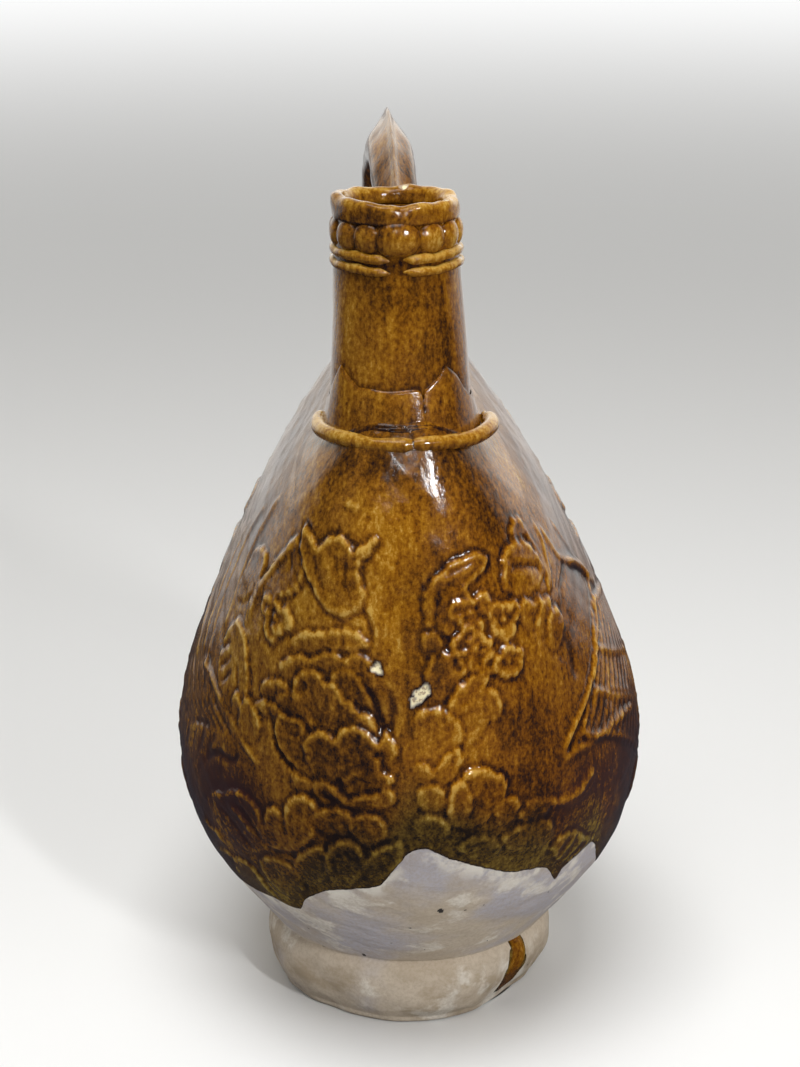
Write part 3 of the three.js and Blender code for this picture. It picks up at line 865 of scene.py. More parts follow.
def drawn(width, high, *pixels, fade=0.2):
    """A ridge or a vein whose line was read from the photograph."""
    stroke(on_wall(pixels), width, high, fade)


def fanned(start, end, *looks):
    """A fan of lines between two lines that were read from the photograph."""
    fan(on_wall(start), on_wall(end), *looks)


# %% [markdown]
# ## The broad sides and the rear
#
# The photograph looks along the flask, so the rest of the carving is a guess from flasks of this kind: on
# each broad side a phoenix flies towards the spout with its wing hanging in tiers and its tail streaming to
# the rear, between two peonies and their leaves. The two sides come from one mould drawing, mirrored.


# %% Carving on the broad sides
def wing(side):
    """A wing in three tiers of feathers, hanging from its shoulder. Places are millimetres on the wall."""
    at = lambda *places: np.array(places, float) * (side, 1)
    for top, low, count in (
        (at((88, 126), (112, 122), (140, 116)), at((79, 116), (104, 106), (132, 98)), 13),
        (at((79, 115), (104, 105), (132, 97)), at((72, 106), (94, 96), (122, 84)), 13),
        (at((71, 105), (93, 95), (121, 83)), at((62, 96), (84, 86), (110, 70)), 13),
    ):
        tier = np.concatenate([evenly(through(top), 5), evenly(through(low), 5)[::-1]])
        petal(tier, 0.7, rim=0.3, soft=4, root=0.8)
        fan(top, low, count, 0.6, -0.65, 0.05 * side)


def phoenix(side):
    """One broad side: the bird behind its wing, its tail, and the flowers round it."""
    at = lambda *places: np.array(places, float) * (side, 1)
    wing(side)
    breast = at((118, 128), (134, 136), (152, 132), (166, 118), (164, 100), (148, 92), (130, 98), (116, 112))
    petal(breast, 1.2, soft=6)
    for ring in (0.75, 0.5, 0.25):
        scale_line = at((124, 112), (140, 104), (158, 108))
        stroke(scale_line + (0, 26 * ring - 6), 0.7, -0.4, fade=0.1)
    neck = at((116, 126), (106, 136), (100, 150), (104, 160), (112, 156), (114, 146), (122, 136), (130, 132))
    petal(neck, 1.1, soft=3)
    head = at((104, 158), (98, 162), (92, 160), (88, 156), (96, 154), (102, 150), (110, 152), (111, 159))
    petal(head, 1.3, soft=2)
    stroke(at((88, 156), (84, 153), (81, 150)), 1.0, 0.8)
    stroke(at((97, 157), (98, 157.5)), 0.9, -0.8)
    for tip in ((112, 170), (118, 168), (122, 163)):
        stroke(at((106, 159), ((106 + tip[0]) / 2 + 2, 163), tip), 0.9, 0.8)
    for base, tip, bend in (
        ((160, 118), (226, 148), 0.12),
        ((162, 110), (236, 128), 0.08),
        ((162, 102), (232, 104), -0.06),
        ((156, 96), (212, 82), -0.1),
    ):
        feather(at(base)[0], at(tip)[0], 0.085, bend * side, 0.9, 12)
    peony(at((140, 62))[0], 17, 0.5, 1.2)
    peony(at((186, 62))[0], 14, 1.0, 1.1)
    peony(at((158, 160))[0], 13, 0.2, 1.0)
    for base, tip, wide in (
        ((122, 58), (98, 54), 0.3),
        ((124, 68), (104, 74), 0.3),
        ((132, 46), (116, 34), 0.32),
        ((156, 50), (166, 36), 0.32),
        ((160, 66), (172, 78), 0.3),
        ((200, 54), (214, 42), 0.32),
        ((200, 66), (218, 72), 0.3),
        ((170, 156), (188, 150), 0.3),
        ((166, 168), (180, 178), 0.3),
        ((146, 166), (134, 176), 0.32),
        ((84, 62), (66, 66), 0.3),
    ):
        leaf(at(base)[0], at(tip)[0], wide, 0.95)
    for x, y, size in ((206, 92, 5), (222, 88, 4.5), (128, 150, 5), (196, 164, 4.5), (92, 80, 4.5)):
        blossom(at((x, y))[0], size, 5, 0.3, 1.0)
    for line in (
        [(110, 54), (124, 60), (140, 62)],
        [(150, 66), (170, 62), (188, 62)],
        [(158, 146), (166, 138), (172, 132)],
        [(236, 140), (240, 120), (236, 100)],
        [(60, 188), (90, 182), (120, 184), (150, 178)],
        [(66, 180), (96, 174), (130, 176)],
    ):
        stroke(at(*line), 1.1, 0.6)


phoenix(1)
phoenix(-1)
in_sight = ease((both_facing * toward).sum(-1) / np.linalg.norm(toward, axis=-1), -0.02, 0.1).ravel()
carved *= 1 - in_sight
wing(1)
print("broad sides: carved from", carved.min().round(2), "to", carved.max().round(2), "mm")

# %% [markdown]
# ## The carving that the photograph shows, left of the seam
#
# Long plumes run down the shoulder, with a notched tail feather and a fan of barbs at the far edge. In
# front of them stand a cupped leaf, a pointed leaf with a small rosette under it, and a large peony with a
# heart-shaped front petal. Leaves in three layers fill the lowest band.

# %% Carving on the left
drawn(1.1, 0.6, (284, 492), (263, 528), (247, 562), (234, 600), (225, 630), fade=0.1)
drawn(1.1, 0.6, (271, 500), (250, 535), (235, 568), (222, 605), (212, 645), (206, 680), fade=0.1)
drawn(1.1, 0.6, (258, 512), (241, 542), (226, 578), (213, 618), (203, 660), fade=0.1)
drawn(1.1, 0.6, (247, 520), (232, 548), (217, 585), (205, 625), (196, 662), fade=0.1)
fanned([(189, 652), (196, 650), (203, 648), (211, 648)], [(185, 693), (193, 693), (203, 693), (214, 694)], 7)
fanned([(185, 698), (203, 697), (222, 697)], [(191, 721), (212, 727), (243, 741)], 9, 0.7, -0.5)
drawn(1.0, 0.7, (205, 655), (213, 676), (222, 698), (240, 735), (262, 768), fade=0.08)
drawn(0.7, -0.5, (187, 721), (200, 721), (212, 726))
fanned([(190, 726), (203, 728), (216, 733)], [(187, 744), (198, 750), (207, 752)], 4, 0.7, -0.4)
drawn(0.8, -0.7, (203, 761), (212, 754), (220, 752), (228, 758), (234, 760), (240, 753), fade=0.1)
raised(
    0.8, (240, 622), (230, 632), (224, 648), (221, 665), (221, 682), (226, 696), (234, 712), (242, 712),
    (246, 700), (249, 680), (249, 660), (247, 640),
)
drawn(0.8, -0.6, (234, 640), (222, 650))
drawn(0.8, -0.6, (234, 655), (222, 667))
drawn(0.8, -0.6, (234, 668), (223, 683))
drawn(0.8, -0.6, (239, 662), (239, 680), (238, 696))
raised(1.0, (238, 694), (234, 703), (238, 712), (242, 703))
raised(0.8, (250, 699), (256, 710), (260, 722), (258, 734), (251, 740), (244, 736), (241, 725), (243, 710))
raised(
    0.9, (262, 549), (267, 557), (265, 568), (262, 579), (257, 589), (250, 595), (242, 599), (238, 592),
    (243, 580), (250, 566), (256, 553),
)
raised(
    0.8, (298, 539), (288, 549), (276, 563), (266, 577), (257, 592), (250, 606), (246, 622), (252, 640),
    (262, 634), (275, 600), (287, 594), (297, 588), (303, 575), (305, 560), (303, 547),
)
drawn(0.7, 0.45, (298, 543), (276, 567), (259, 595), (249, 620), fade=0.1)
drawn(0.6, -0.4, (292, 548), (293, 560), (291, 575))
drawn(0.6, -0.4, (296, 568), (299, 580), (304, 592))
blossom(on_wall([(277, 618)])[0], 5.6, 6, 0.3, 1.25)
raised(
    1.2, (308, 528), (314, 540), (320, 550), (326, 544), (333, 539), (341, 538), (348, 543), (353, 553),
    (362, 549), (375, 540), (368, 553), (360, 562), (358, 572), (361, 585), (363, 598), (358, 608),
    (348, 614), (337, 614), (327, 608), (319, 597), (314, 584), (308, 573), (306, 560), (304, 545),
    groove=0.7, root=0.6,
)
drawn(0.6, -0.4, (337, 553), (337, 566), (336, 578))
drawn(0.6, -0.4, (344, 556), (346, 570), (345, 584), (351, 599))
drawn(0.6, -0.4, (316, 556), (320, 575), (326, 592))
drawn(0.9, -0.6, (361, 606), (366, 616), (371, 628), (373, 648))
drawn(0.9, 0.4, (367, 606), (374, 624), (377, 648))
raised(
    0.8, (294, 642), (306, 634), (324, 634), (342, 631), (358, 635), (366, 645), (350, 650), (330, 648),
    (312, 652), (300, 651),
)
drawn(1.3, 0.6, (346, 506), (352, 505), (360, 512))

print("left, plumes and leaves: carved to", carved.max().round(2), "mm")

# %% The left peony
# Outer petals come first, then those that lie over them.
raised(0.8, (282, 668), (291, 659), (304, 657), (313, 664), (310, 676), (296, 680), (285, 677))
raised(0.8, (313, 664), (324, 655), (337, 655), (346, 664), (340, 674), (324, 676))
raised(0.8, (347, 660), (357, 655), (368, 661), (374, 674), (372, 692), (361, 686), (352, 673))
raised(0.8, (262, 690), (271, 682), (282, 682), (290, 690), (284, 700), (270, 700))
raised(0.8, (296, 774), (306, 770), (319, 780), (316, 793), (304, 791), (295, 784))
raised(
    0.7, (330, 690), (333, 677), (339, 671), (348, 671), (356, 677), (361, 686), (367, 694), (371, 706),
    (374, 722), (360, 716), (345, 704),
)
raised(0.7, (276, 704), (283, 696), (292, 694), (304, 700), (306, 712), (292, 716), (280, 712))
raised(0.7, (258, 706), (268, 702), (278, 708), (283, 716), (278, 724), (268, 714))
raised(
    0.95, (296, 694), (296, 683), (302, 675), (312, 671), (320, 675), (323, 684), (332, 684), (339, 691),
    (342, 701), (351, 703), (356, 712), (357, 724), (340, 728), (318, 728), (304, 718),
)
drawn(0.9, -0.7, (299, 692), (304, 686), (305, 679))
drawn(
    0.9, -0.8, (268, 706), (273, 722), (277, 745), (284, 757), (294, 768), (308, 776), (320, 780), fade=0.08,
)
drawn(0.6, -0.3, (312, 680), (314, 696), (318, 712))
drawn(0.6, -0.3, (328, 692), (328, 706), (329, 718))
drawn(0.6, -0.3, (346, 710), (346, 720))
raised(0.8, (356, 724), (359, 717), (366, 715), (373, 722), (378, 734), (372, 740), (362, 734))
raised(
    0.8, (282, 714), (292, 719), (302, 722), (306, 732), (307, 748), (313, 764), (316, 776), (300, 769),
    (287, 757), (279, 744), (277, 728), groove=0.8,
)
fanned([(281, 722), (281, 740), (291, 757)], [(302, 728), (304, 746), (309, 762)], 5, 0.7, -0.4, 0.06)
raised(
    1.3, (307, 745), (311, 737), (319, 733), (328, 733), (336, 741), (341, 733), (349, 728), (359, 728),
    (368, 734), (376, 744), (373, 754), (366, 763), (357, 770), (346, 775), (334, 778), (322, 778),
    (314, 770), (309, 757), rim=0.35, groove=0.8, soft=3.4,
)
drawn(1.0, -0.3, (336, 743), (337, 752), (340, 762))
fanned(
    [(366, 704), (374, 684), (388, 684), (399, 708)], [(381, 737), (384, 734), (388, 734), (391, 738)], 9,
    0.8, -0.5,
)
fanned([(300, 680), (311, 674), (321, 680)], [(316, 726), (321, 726), (326, 726)], 5, 0.7, -0.35)
fanned([(326, 688), (334, 690), (340, 700)], [(330, 728), (336, 728), (342, 726)], 4, 0.7, -0.35)
fanned([(338, 676), (350, 676), (362, 690)], [(352, 708), (360, 712), (370, 718)], 5, 0.7, -0.35)
fanned(
    [(316, 740), (328, 738), (344, 734), (362, 734)], [(326, 766), (334, 768), (344, 766), (352, 762)], 8,
    0.7, -0.28,
)
drawn(0.9, -0.5, (363, 686), (374, 700), (381, 716), (386, 735))
raised(0.9, (387, 738), (381, 744), (379, 752), (382, 761), (388, 765), (394, 759), (395, 747))
raised(0.95, (317, 786), (323, 780), (331, 784), (340, 794), (350, 804), (340, 805), (328, 803), (320, 797))
drawn(0.9, -0.6, (321, 790), (330, 797), (340, 802))
raised(
    0.95, (352, 802), (359, 797), (370, 796), (380, 794), (387, 787), (393, 796), (389, 805), (376, 806),
    (364, 809),
)
raised(
    1.15, (348, 790), (346, 779), (353, 773), (363, 769), (371, 763), (377, 757), (380, 765), (376, 772),
    (386, 774), (392, 779), (386, 785), (374, 786), (362, 790),
)

print("left, peony: carved to", carved.max().round(2), "mm")

# %% Leaves under the left peony
drawn(1.1, 0.8, (204, 810), (211, 825), (219, 832), (224, 843))
drawn(1.1, 0.6, (216, 846), (229, 853), (239, 862), (252, 878))
raised(0.7, (236, 858), (248, 862), (258, 872), (266, 884), (276, 896), (262, 892), (248, 882))
raised(0.7, (262, 860), (276, 858), (292, 866), (302, 880), (300, 896), (284, 892), (270, 878))
raised(
    1.2, (214, 793), (224, 794), (236, 791), (248, 797), (257, 806), (262, 818), (264, 832), (268, 846),
    (258, 852), (246, 848), (234, 836), (224, 820), (217, 806),
)
drawn(1.0, 0.55, (228, 801), (238, 812), (246, 821), (254, 835))
drawn(0.9, -0.8, (234, 800), (247, 814), (256, 828), (264, 844))
drawn(0.9, -0.6, (219, 801), (231, 817), (243, 834), (256, 850))
raised(
    1.1, (266, 834), (267, 818), (270, 810), (276, 808), (281, 813), (283, 826), (284, 842), (275, 848),
    (268, 844),
)
raised(
    1.2, (284, 838), (286, 818), (289, 805), (295, 798), (304, 796), (313, 801), (318, 812), (316, 826),
    (308, 840), (296, 848), (287, 847),
)
drawn(0.8, -0.7, (285, 812), (285, 824), (286, 836))
fanned([(292, 806), (302, 802), (312, 808)], [(294, 838), (300, 842), (306, 838)], 3, 0.7, -0.3)
raised(
    1.0, (313, 818), (320, 812), (332, 808), (345, 811), (354, 818), (350, 830), (338, 833), (326, 830),
    (317, 827),
)
raised(0.7, (352, 822), (362, 815), (374, 815), (384, 823), (382, 838), (370, 843), (358, 838))
raised(0.8, (296, 862), (306, 852), (318, 846), (326, 851), (330, 866), (322, 880), (308, 884))
raised(
    1.1, (328, 864), (330, 850), (336, 843), (346, 840), (356, 845), (362, 853), (364, 867), (358, 879),
    (345, 884), (334, 881),
)
fanned([(333, 852), (346, 846), (358, 854)], [(338, 876), (346, 878), (354, 874)], 4, 0.7, -0.35)
raised(
    1.0, (364, 869), (369, 858), (379, 849), (390, 845), (402, 843), (404, 856), (396, 866), (382, 876),
    (370, 878),
)
drawn(0.7, -0.4, (385, 850), (392, 858), (390, 866))
drawn(0.7, -0.6, (272, 850), (285, 853), (299, 856))
print("left, lower leaves: carved to", carved.max().round(2), "mm")

# %% [markdown]
# ## The carving right of the seam
#
# A leaf with a folded top edge, a spray of small blossoms, half of a shallow flower and its heart-shaped
# lower petal, a bud with a cut across it, and at the far edge the smooth shoulder of a wing whose feathers
# hang in three tiers. The tiers go on round the side, where the photograph cannot see.

# %% Carving on the right
raised(
    1.0, (436, 579), (448, 567), (462, 559), (478, 555), (485, 560), (481, 570), (471, 580), (464, 588),
    (468, 597), (460, 604), (454, 611), (456, 621), (452, 631), (440, 632), (430, 629), (426, 615),
    (425, 600), (429, 588), groove=0.7, root=0.5,
)
drawn(1.0, 0.6, (438, 580), (452, 577), (466, 570), (478, 561))
drawn(0.9, -0.5, (425, 583), (427, 594), (424, 606), (426, 626))
drawn(0.8, -0.25, (440, 590), (438, 606), (440, 622))
for pixel, size, turn in (
    ((470, 613), 5.0, 0.2),
    ((466, 643), 4.2, 0.5),
    ((459, 663), 3.8, 0.9),
    ((503, 620), 5.2, 0.1),
    ((482, 651), 4.4, 0.7),
    ((507, 661), 4.6, 0.4),
    ((478, 677), 3.2, 0.0),
):
    blossom(on_wall([pixel])[0], size, 5, turn, 1.15)
drawn(0.8, -0.5, (479, 612), (487, 622), (489, 634), (484, 642))
drawn(0.7, 0.5, (478, 644), (488, 642), (497, 634), (503, 626))
raised(
    0.6, (431, 662), (437, 651), (447, 655), (451, 668), (459, 678), (452, 693), (440, 698), (430, 690),
    (427, 675),
)
raised(
    0.85, (468, 680), (479, 672), (486, 679), (483, 690), (487, 701), (488, 712), (485, 725), (477, 737),
    (466, 744), (455, 748), (456, 735), (450, 718), (452, 700), (459, 688), groove=0.7, soft=4,
)
fanned([(474, 690), (478, 708), (474, 726)], [(458, 706), (460, 718), (460, 732)], 3, 0.7, -0.25)
raised(
    0.75, (412, 722), (426, 711), (441, 711), (451, 717), (459, 727), (461, 738), (454, 747), (445, 757),
    (430, 762), (414, 758), soft=4,
)
raised(0.8, (444, 760), (455, 750), (461, 758), (457, 769), (450, 780), (440, 784), (434, 774))
raised(
    1.3, (459, 781), (467, 773), (480, 769), (492, 773), (501, 777), (504, 786), (501, 798), (494, 809),
    (485, 819), (473, 826), (461, 827), (451, 822), (448, 808), (450, 794), (454, 785), rim=0.35, groove=0.8,
    soft=3.4,
)
raised(
    1.5, (449, 814), (451, 795), (455, 786), (461, 783), (467, 788), (469, 800), (467, 816), (460, 826),
    (452, 823),
)
drawn(1.1, -0.3, (484, 778), (483, 792), (478, 808))
raised(0.95, (496, 812), (499, 802), (508, 797), (517, 801), (516, 811), (509, 821), (500, 824))
drawn(
    1.7, 1.0, (521, 811), (530, 803), (543, 801), (557, 800), (569, 796), (579, 788), (586, 777), (595, 766),
    fade=0.1,
)
drawn(0.7, 0.4, (562, 806), (577, 799), (589, 784), (598, 765))
raised(0.8, (503, 838), (518, 827), (531, 820), (543, 819), (551, 829), (545, 842), (528, 850), (512, 850))
raised(0.9, (552, 846), (560, 836), (573, 831), (584, 837), (592, 838), (582, 849), (568, 858), (556, 856))
fanned([(562, 838), (574, 834), (588, 839)], [(548, 860), (556, 866), (564, 862)], 4, 0.9, 0.5)
raised(0.6, (460, 846), (474, 838), (490, 838), (500, 848), (492, 858), (474, 858))
drawn(0.9, 0.6, (518, 520), (527, 538), (538, 556), (545, 574), (549, 596), fade=0.1)
drawn(0.8, 0.5, (531, 522), (540, 540), (544, 556), (548, 575), (552, 592), fade=0.1)
drawn(0.9, 0.8, (537, 526), (546, 542), (556, 556), (571, 563), (584, 575), (594, 583), fade=0.08)
drawn(1.0, 0.55, (548, 520), (563, 543), (580, 570), (590, 588), fade=0.1)
fanned([(551, 565), (556, 563), (561, 562)], [(551, 594), (555, 594), (558, 592)], 3, 0.6, -0.4)
raised(
    1.1, (508, 547), (517, 540), (525, 545), (532, 553), (538, 562), (542, 571), (539, 582), (532, 590),
    (525, 594), (514, 593), (506, 587), (503, 577), (504, 567), (502, 559), groove=0.8,
)
drawn(0.8, -0.7, (509, 567), (523, 566), (539, 568), fade=0.08)
raised(0.8, (511, 522), (519, 522), (522, 532), (517, 540), (510, 533))
raised(0.7, (523, 600), (531, 605), (539, 600), (541, 614), (536, 627), (526, 624), (520, 612))
raised(0.9, (541, 603), (547, 599), (550, 612), (548, 626), (541, 634), (537, 620))
raised(0.95, (549, 614), (556, 610), (561, 620), (561, 636), (557, 648), (550, 645), (547, 630))
drawn(
    1.1, 0.95, (562, 563), (572, 562), (582, 572), (588, 590), (593, 614), (594, 645), (591, 676), (585, 700),
    (573, 726), (559, 759), fade=0.06,
)
drawn(
    0.9, -0.6, (592, 592), (597, 614), (598, 645), (595, 676), (589, 702), (577, 728), (563, 760), fade=0.06,
)
drawn(1.8, -0.4, (562, 566), (560, 592), (564, 622), (571, 655), (578, 682), fade=0.1)
drawn(1.1, 0.7, (631, 702), (612, 722), (594, 738), (577, 749), (561, 758), fade=0.06)
raised(0.7, (424, 637), (434, 634), (441, 642), (435, 653), (425, 651))
raised(0.8, (487, 690), (496, 694), (499, 708), (493, 721), (487, 712))
raised(0.7, (412, 764), (424, 766), (433, 774), (424, 785), (412, 781))
raised(0.8, (419, 791), (432, 786), (443, 792), (441, 807), (428, 811), (420, 803))
raised(0.7, (415, 821), (430, 816), (445, 822), (447, 834), (432, 840), (418, 835))
raised(0.8, (519, 813), (531, 806), (545, 806), (541, 817), (528, 821))
fanned([(456, 790), (470, 778), (492, 780)], [(456, 818), (466, 820), (480, 814)], 6, 0.7, -0.3)
fanned([(420, 720), (436, 716), (452, 724)], [(418, 752), (430, 756), (444, 748)], 5, 0.7, -0.25)
print("right: carved from", carved.min().round(2), "to", carved.max().round(2), "mm")

# %% [markdown]
# ## Heights, the glaze's lower edge and two chips
#
# The carving is softened a little, as glaze softens it, and fades out at the seams, the foot and the crown.
# The glaze stops in a ragged line with drips: the front stretch of it was read from the photograph and the
# rest is a guess in the same manner. Two chips beside the front seam show the pale body under the glaze.


# %% Heights on the body
def soften(field, passes):
    """A field on both halves, blurred a little by each pass."""
    for _ in range(passes):
        wide = np.pad(field, ((0, 0), (1, 1), (0, 0)), mode="edge")
        field = (wide[:, :-2] + 2 * wide[:, 1:-1] + wide[:, 2:]) / 4
        wide = np.pad(field, ((0, 0), (0, 0), (1, 1)), mode="edge")
        field = (wide[:, :, :-2] + 2 * wide[:, :, 1:-1] + wide[:, :, 2:]) / 4
    return field


from_seam = np.abs(both_round)
from_rear = from_seam[:, :, -1:] - from_seam
from_crown = both_up[:, -1:] - both_up
fade = ease(from_seam, 0.4, 3) * ease(from_rear, 0.4, 3) * ease(both_up, 1, 6) * ease(from_crown, 3, 12)
relief = soften(carved.reshape(both_round.shape), 1) * fade
# ridge: how far a point stands over its surroundings, less a share of its own height, plus painted light from
# above: upper edges of forms lighter and lower edges darker, partly as glaze thins on upper edges and runs
# down.
climb = np.gradient(relief, axis=1) / np.maximum(np.gradient(both_up, axis=1), 0.1)
proud = (relief - soften(relief, 9)) / 0.28
ridge = np.clip(proud - 0.5 * soften(climb, 1) - 0.35 * np.maximum(relief, 0), -1, 1)

front_edge = on_wall(
    [
        (232, 872), (246, 884), (262, 892), (280, 900), (292, 906), (301, 908), (305, 900), (315, 895),
        (328, 891), (355, 889), (380, 885), (396, 866), (410, 853), (425, 849), (445, 857), (470, 865),
        (492, 870), (515, 873), (530, 870), (546, 868), (555, 879), (562, 868), (576, 856), (592, 842),
    ]
)
left_edge = [(-200, 40), (-180, 34), (-160, 46), (-140, 36), (-120, 44), (-100, 30), (-86, 36)]
right_edge = [(72, 40), (77, 33), (90, 38), (112, 34), (132, 46), (150, 36), (170, 44), (186, 30), (204, 40)]
edge_line = np.concatenate([left_edge, front_edge, right_edge])
edge_line = through(edge_line[np.argsort(edge_line[:, 0])])
glaze_above = both_up - np.interp(both_round, edge_line[:, 0], edge_line[:, 1])

chip = np.zeros_like(both_round)
CHIPS = [(377, 669), (425, 690), (420, 696), (414, 702)]
CHIP_SIZES = (1.5, 1.5, 1.8, 1.2)
for middle, size in zip(on_wall(CHIPS), CHIP_SIZES):
    across, up = both_round - middle[0], both_up - middle[1]
    away = np.hypot(across, up) + 0.35 * np.sin(3 * np.arctan2(up, across) + size * 9)
    chip = np.maximum(chip, ease(-away, -size - 0.3, -size + 0.3))
    ridge -= 1.2 * ease(-away, -size - 1.3, -size - 0.3)
# Darker patches under the stem, a bud and the collar and in hollows of the peony: painted shade, partly glaze
# pooled there.
DARK_PATCHES = [(556, 816), (470, 834), (366, 690), (292, 712), (326, 836), (372, 764), (345, 462), (385, 464)]
DARK_PATCH_SIZES = (7, 6, 3, 4, 4, 4, 5, 4)
for middle, size in zip(on_wall(DARK_PATCHES), DARK_PATCH_SIZES):
    ridge -= 0.55 * np.exp(-((both_round - middle[0]) ** 2 + (both_up - middle[1]) ** 2) / size**2)
DARK_SPOT, DARK_SPOT_RIDGE = (441, 911), 3.0  # a ridge that high is a dark spot in the bare clay
spot = on_wall([DARK_SPOT])[0]
ridge = np.where(np.hypot((both_round - spot[0]) * 1.5, both_up - spot[1]) < 1.5, DARK_SPOT_RIDGE, ridge)

GLAZE_THICKNESS = 0.28
lumps = wobble(both_places, 46, 0.35) + wobble(both_places, 11, 0.14) + wobble(both_places, 6, 0.06)
height = relief + GLAZE_THICKNESS * ease(glaze_above, -0.3, 0.9) * (1 - chip) + lumps
print("body relief: from", height.min().round(2), "to", height.max().round(2), "mm")

# %% [markdown]
# ## The two halves of the body
#
# Each half is a shell: the carved skin outside, a plain skin a wall's thickness inside, both open where the
# spout stands, and joined along the seam, the foot and the hole by a strip of triangles. A Solidify
# modifier would copy the carving to the inside, which a hand that presses clay into a mould does not do.


# %% Body halves
def holed(grid, start):
    """Faces over a grid of points, open at the spout's hole, whose rim is pushed out to the true radius."""
    away = np.hypot(grid[..., 0], grid[..., 1] - SPOUT_Y)
    gone = (away < BODY_HOLE) & (grid[..., 2] > BELLY)
    push = np.where(gone, BODY_HOLE / np.maximum(away, 1e-3), 1)
    grid[..., 0] *= push
    grid[..., 1] = SPOUT_Y + (grid[..., 1] - SPOUT_Y) * push
    index = start + np.arange(gone.size).reshape(gone.shape)
    corners = [np.s_[:-1, :-1], np.s_[:-1, 1:], np.s_[1:, 1:], np.s_[1:, :-1]]
    hidden = np.all([gone[corner] for corner in corners], axis=0)
    return np.stack([index[corner] for corner in corners], -1)[~hidden], index


def rim_of(faces, index):
    """The open edge of such faces: five lines of point numbers, split at the corners."""
    ahead = np.concatenate([np.stack([faces[:, k], faces[:, (k + 1) % 4]], 1) for k in range(4)])
    size = ahead.max() + 1
    open_edges = ahead[~np.isin(ahead[:, 0] * size + ahead[:, 1], ahead[:, 1] * size + ahead[:, 0])]
    following = dict(open_edges.tolist())
    used = np.isin(index, faces)
    hole_top, hole_front = index[-1, used[-1].argmax()], index[used[:, 0].nonzero()[0].max(), 0]
    corners = [index[0, -1], index[-1, -1], hole_top, hole_front, index[0, 0]]
    lines, spot = [], int(index[0, 0])
    for corner in corners:
        line = [spot]
        while spot != corner:
            spot = following[spot]
            line.append(spot)
        lines.append(line)
    return lines


def zipped(one, other, points):
    """Triangles between two lines of point numbers, taken in step by length."""

    def shares(line):
        length = np.concatenate([[0], np.cumsum(np.linalg.norm(np.diff(points[line], axis=0), axis=1))])
        return length / length[-1]

    first, second = shares(one), shares(other)
    i = j = 0
    faces = []
    while i < len(one) - 1 or j < len(other) - 1:
        if j == len(other) - 1 or (i < len(one) - 1 and first[i + 1] <= second[j + 1]):
            faces.append([one[i], other[j], one[i + 1]])
            i += 1
        else:
            faces.append([one[i], other[j], other[j + 1]])
            j += 1
    return faces


BASE_HOLE, BASE_TOP = 37.8, 29.6


def body_half(name, half, sign):
    """One pressed half, with its seam face a hair from the middle."""
    outer = both_places[half] + both_facing[half] * height[half, ..., None]
    outer[:, [0, -1], 0] = 0
    outer[-1, :, 0] = 0
    inner = roofed(body_rings(np.linspace(0, 1, 27), np.linspace(0, 1, 45), -WALL), 0.0, 3) * (sign, 1, 1)
    inner[:, [0, -1], 0] = 0
    inner[0] *= BASE_HOLE / np.hypot(inner[0, :, :1], inner[0, :, 1:2])
    inner[0, :, 2] = BASE_TOP
    outer_faces, outer_index = holed(outer, 0)
    inner_faces, inner_index = holed(inner, outer_index.size)
    points = np.concatenate([outer.reshape(-1, 3), inner.reshape(-1, 3)])
    faces = outer_faces.tolist() + inner_faces.tolist()
    for one, other in zip(rim_of(outer_faces, outer_index), rim_of(inner_faces, inner_index)):
        faces += zipped(one, other, points)
    points[:, 0] += sign * SEAM_HALF_GAP
    used = np.unique(np.concatenate([np.ravel(face) for face in (outer_faces, inner_faces)]))
    renumber = np.zeros(len(points), int)
    renumber[used] = np.arange(len(used))
    faces = [[int(renumber[spot]) for spot in face] for face in faces]
    numbers = {}
    for key, values, within in (("ridge", ridge, 0), ("glaze", glaze_above, FAR_ABOVE), ("chip", chip, 0)):
        numbers[key] = np.concatenate([values[half].ravel(), np.full(inner_index.size, float(within))])[used]
    piece = build(name + "_visual", points[used], faces, dipped, 80, **numbers)
    return place(piece, [name], "amber_glaze")


body_half("body_half_left", 0, -1)
body_half("body_half_right", 1, 1)

# %% [markdown]
# ## The spout
#
# A short tube that narrows upwards, pressed in the same two halves. Its foot follows the curve of the
# shoulder, which is found from the body's own points, so it stands on the clay all round.

# %% Spout halves
NECK_TOP = 263.7
NECK_TOP_RADIUS, NECK_FOOT_RADIUS, BORE = 17.3, 20.9, 13.5
JOINT = 0.3  # the layer of slip in a luted joint
UPPER_CORD, LOWER_CORD, BEAD_HEIGHT = 253.8, 250.3, 258.9
SLEEVE_PEAKS, SLEEVE_SPREAD = (-135, -56, 41, 125), 21.0  # degrees from the front
SLEEVE_LOW, SLEEVE_HIGH = 14.5, 20.5  # its edge over the shoulder
SLEEVE_DROP = 5.5  # how much lower its edge is at the two sides
SLEEVE_SLIT, SLIT_DEPTH = 18.0, 2.5
upper = both_places[both_places[..., 2] > 150]


def neck_radius(z):
    return np.interp(z, (SHOULDER, NECK_TOP), (NECK_FOOT_RADIUS, NECK_TOP_RADIUS))


def around(angles, radius, z):
    """Points round the spout. Angles are in degrees from the front, right being positive."""
    turn = np.radians(angles)
    return np.stack(np.broadcast_arrays(radius * np.sin(turn), SPOUT_Y - radius * np.cos(turn), z), -1)


def body_top(angles, radius):
    """Height of the bare body under places round the spout."""
    spots = around(angles, radius, 0.0).reshape(-1, 3)[:, :2]
    found = np.array([upper[((upper[:, :2] - spot) ** 2).sum(1).argmin(), 2] for spot in spots])
    kernel = np.hanning(13)[1:-1] / 6
    return np.convolve(np.pad(found, 5, mode="edge"), kernel, mode="valid")


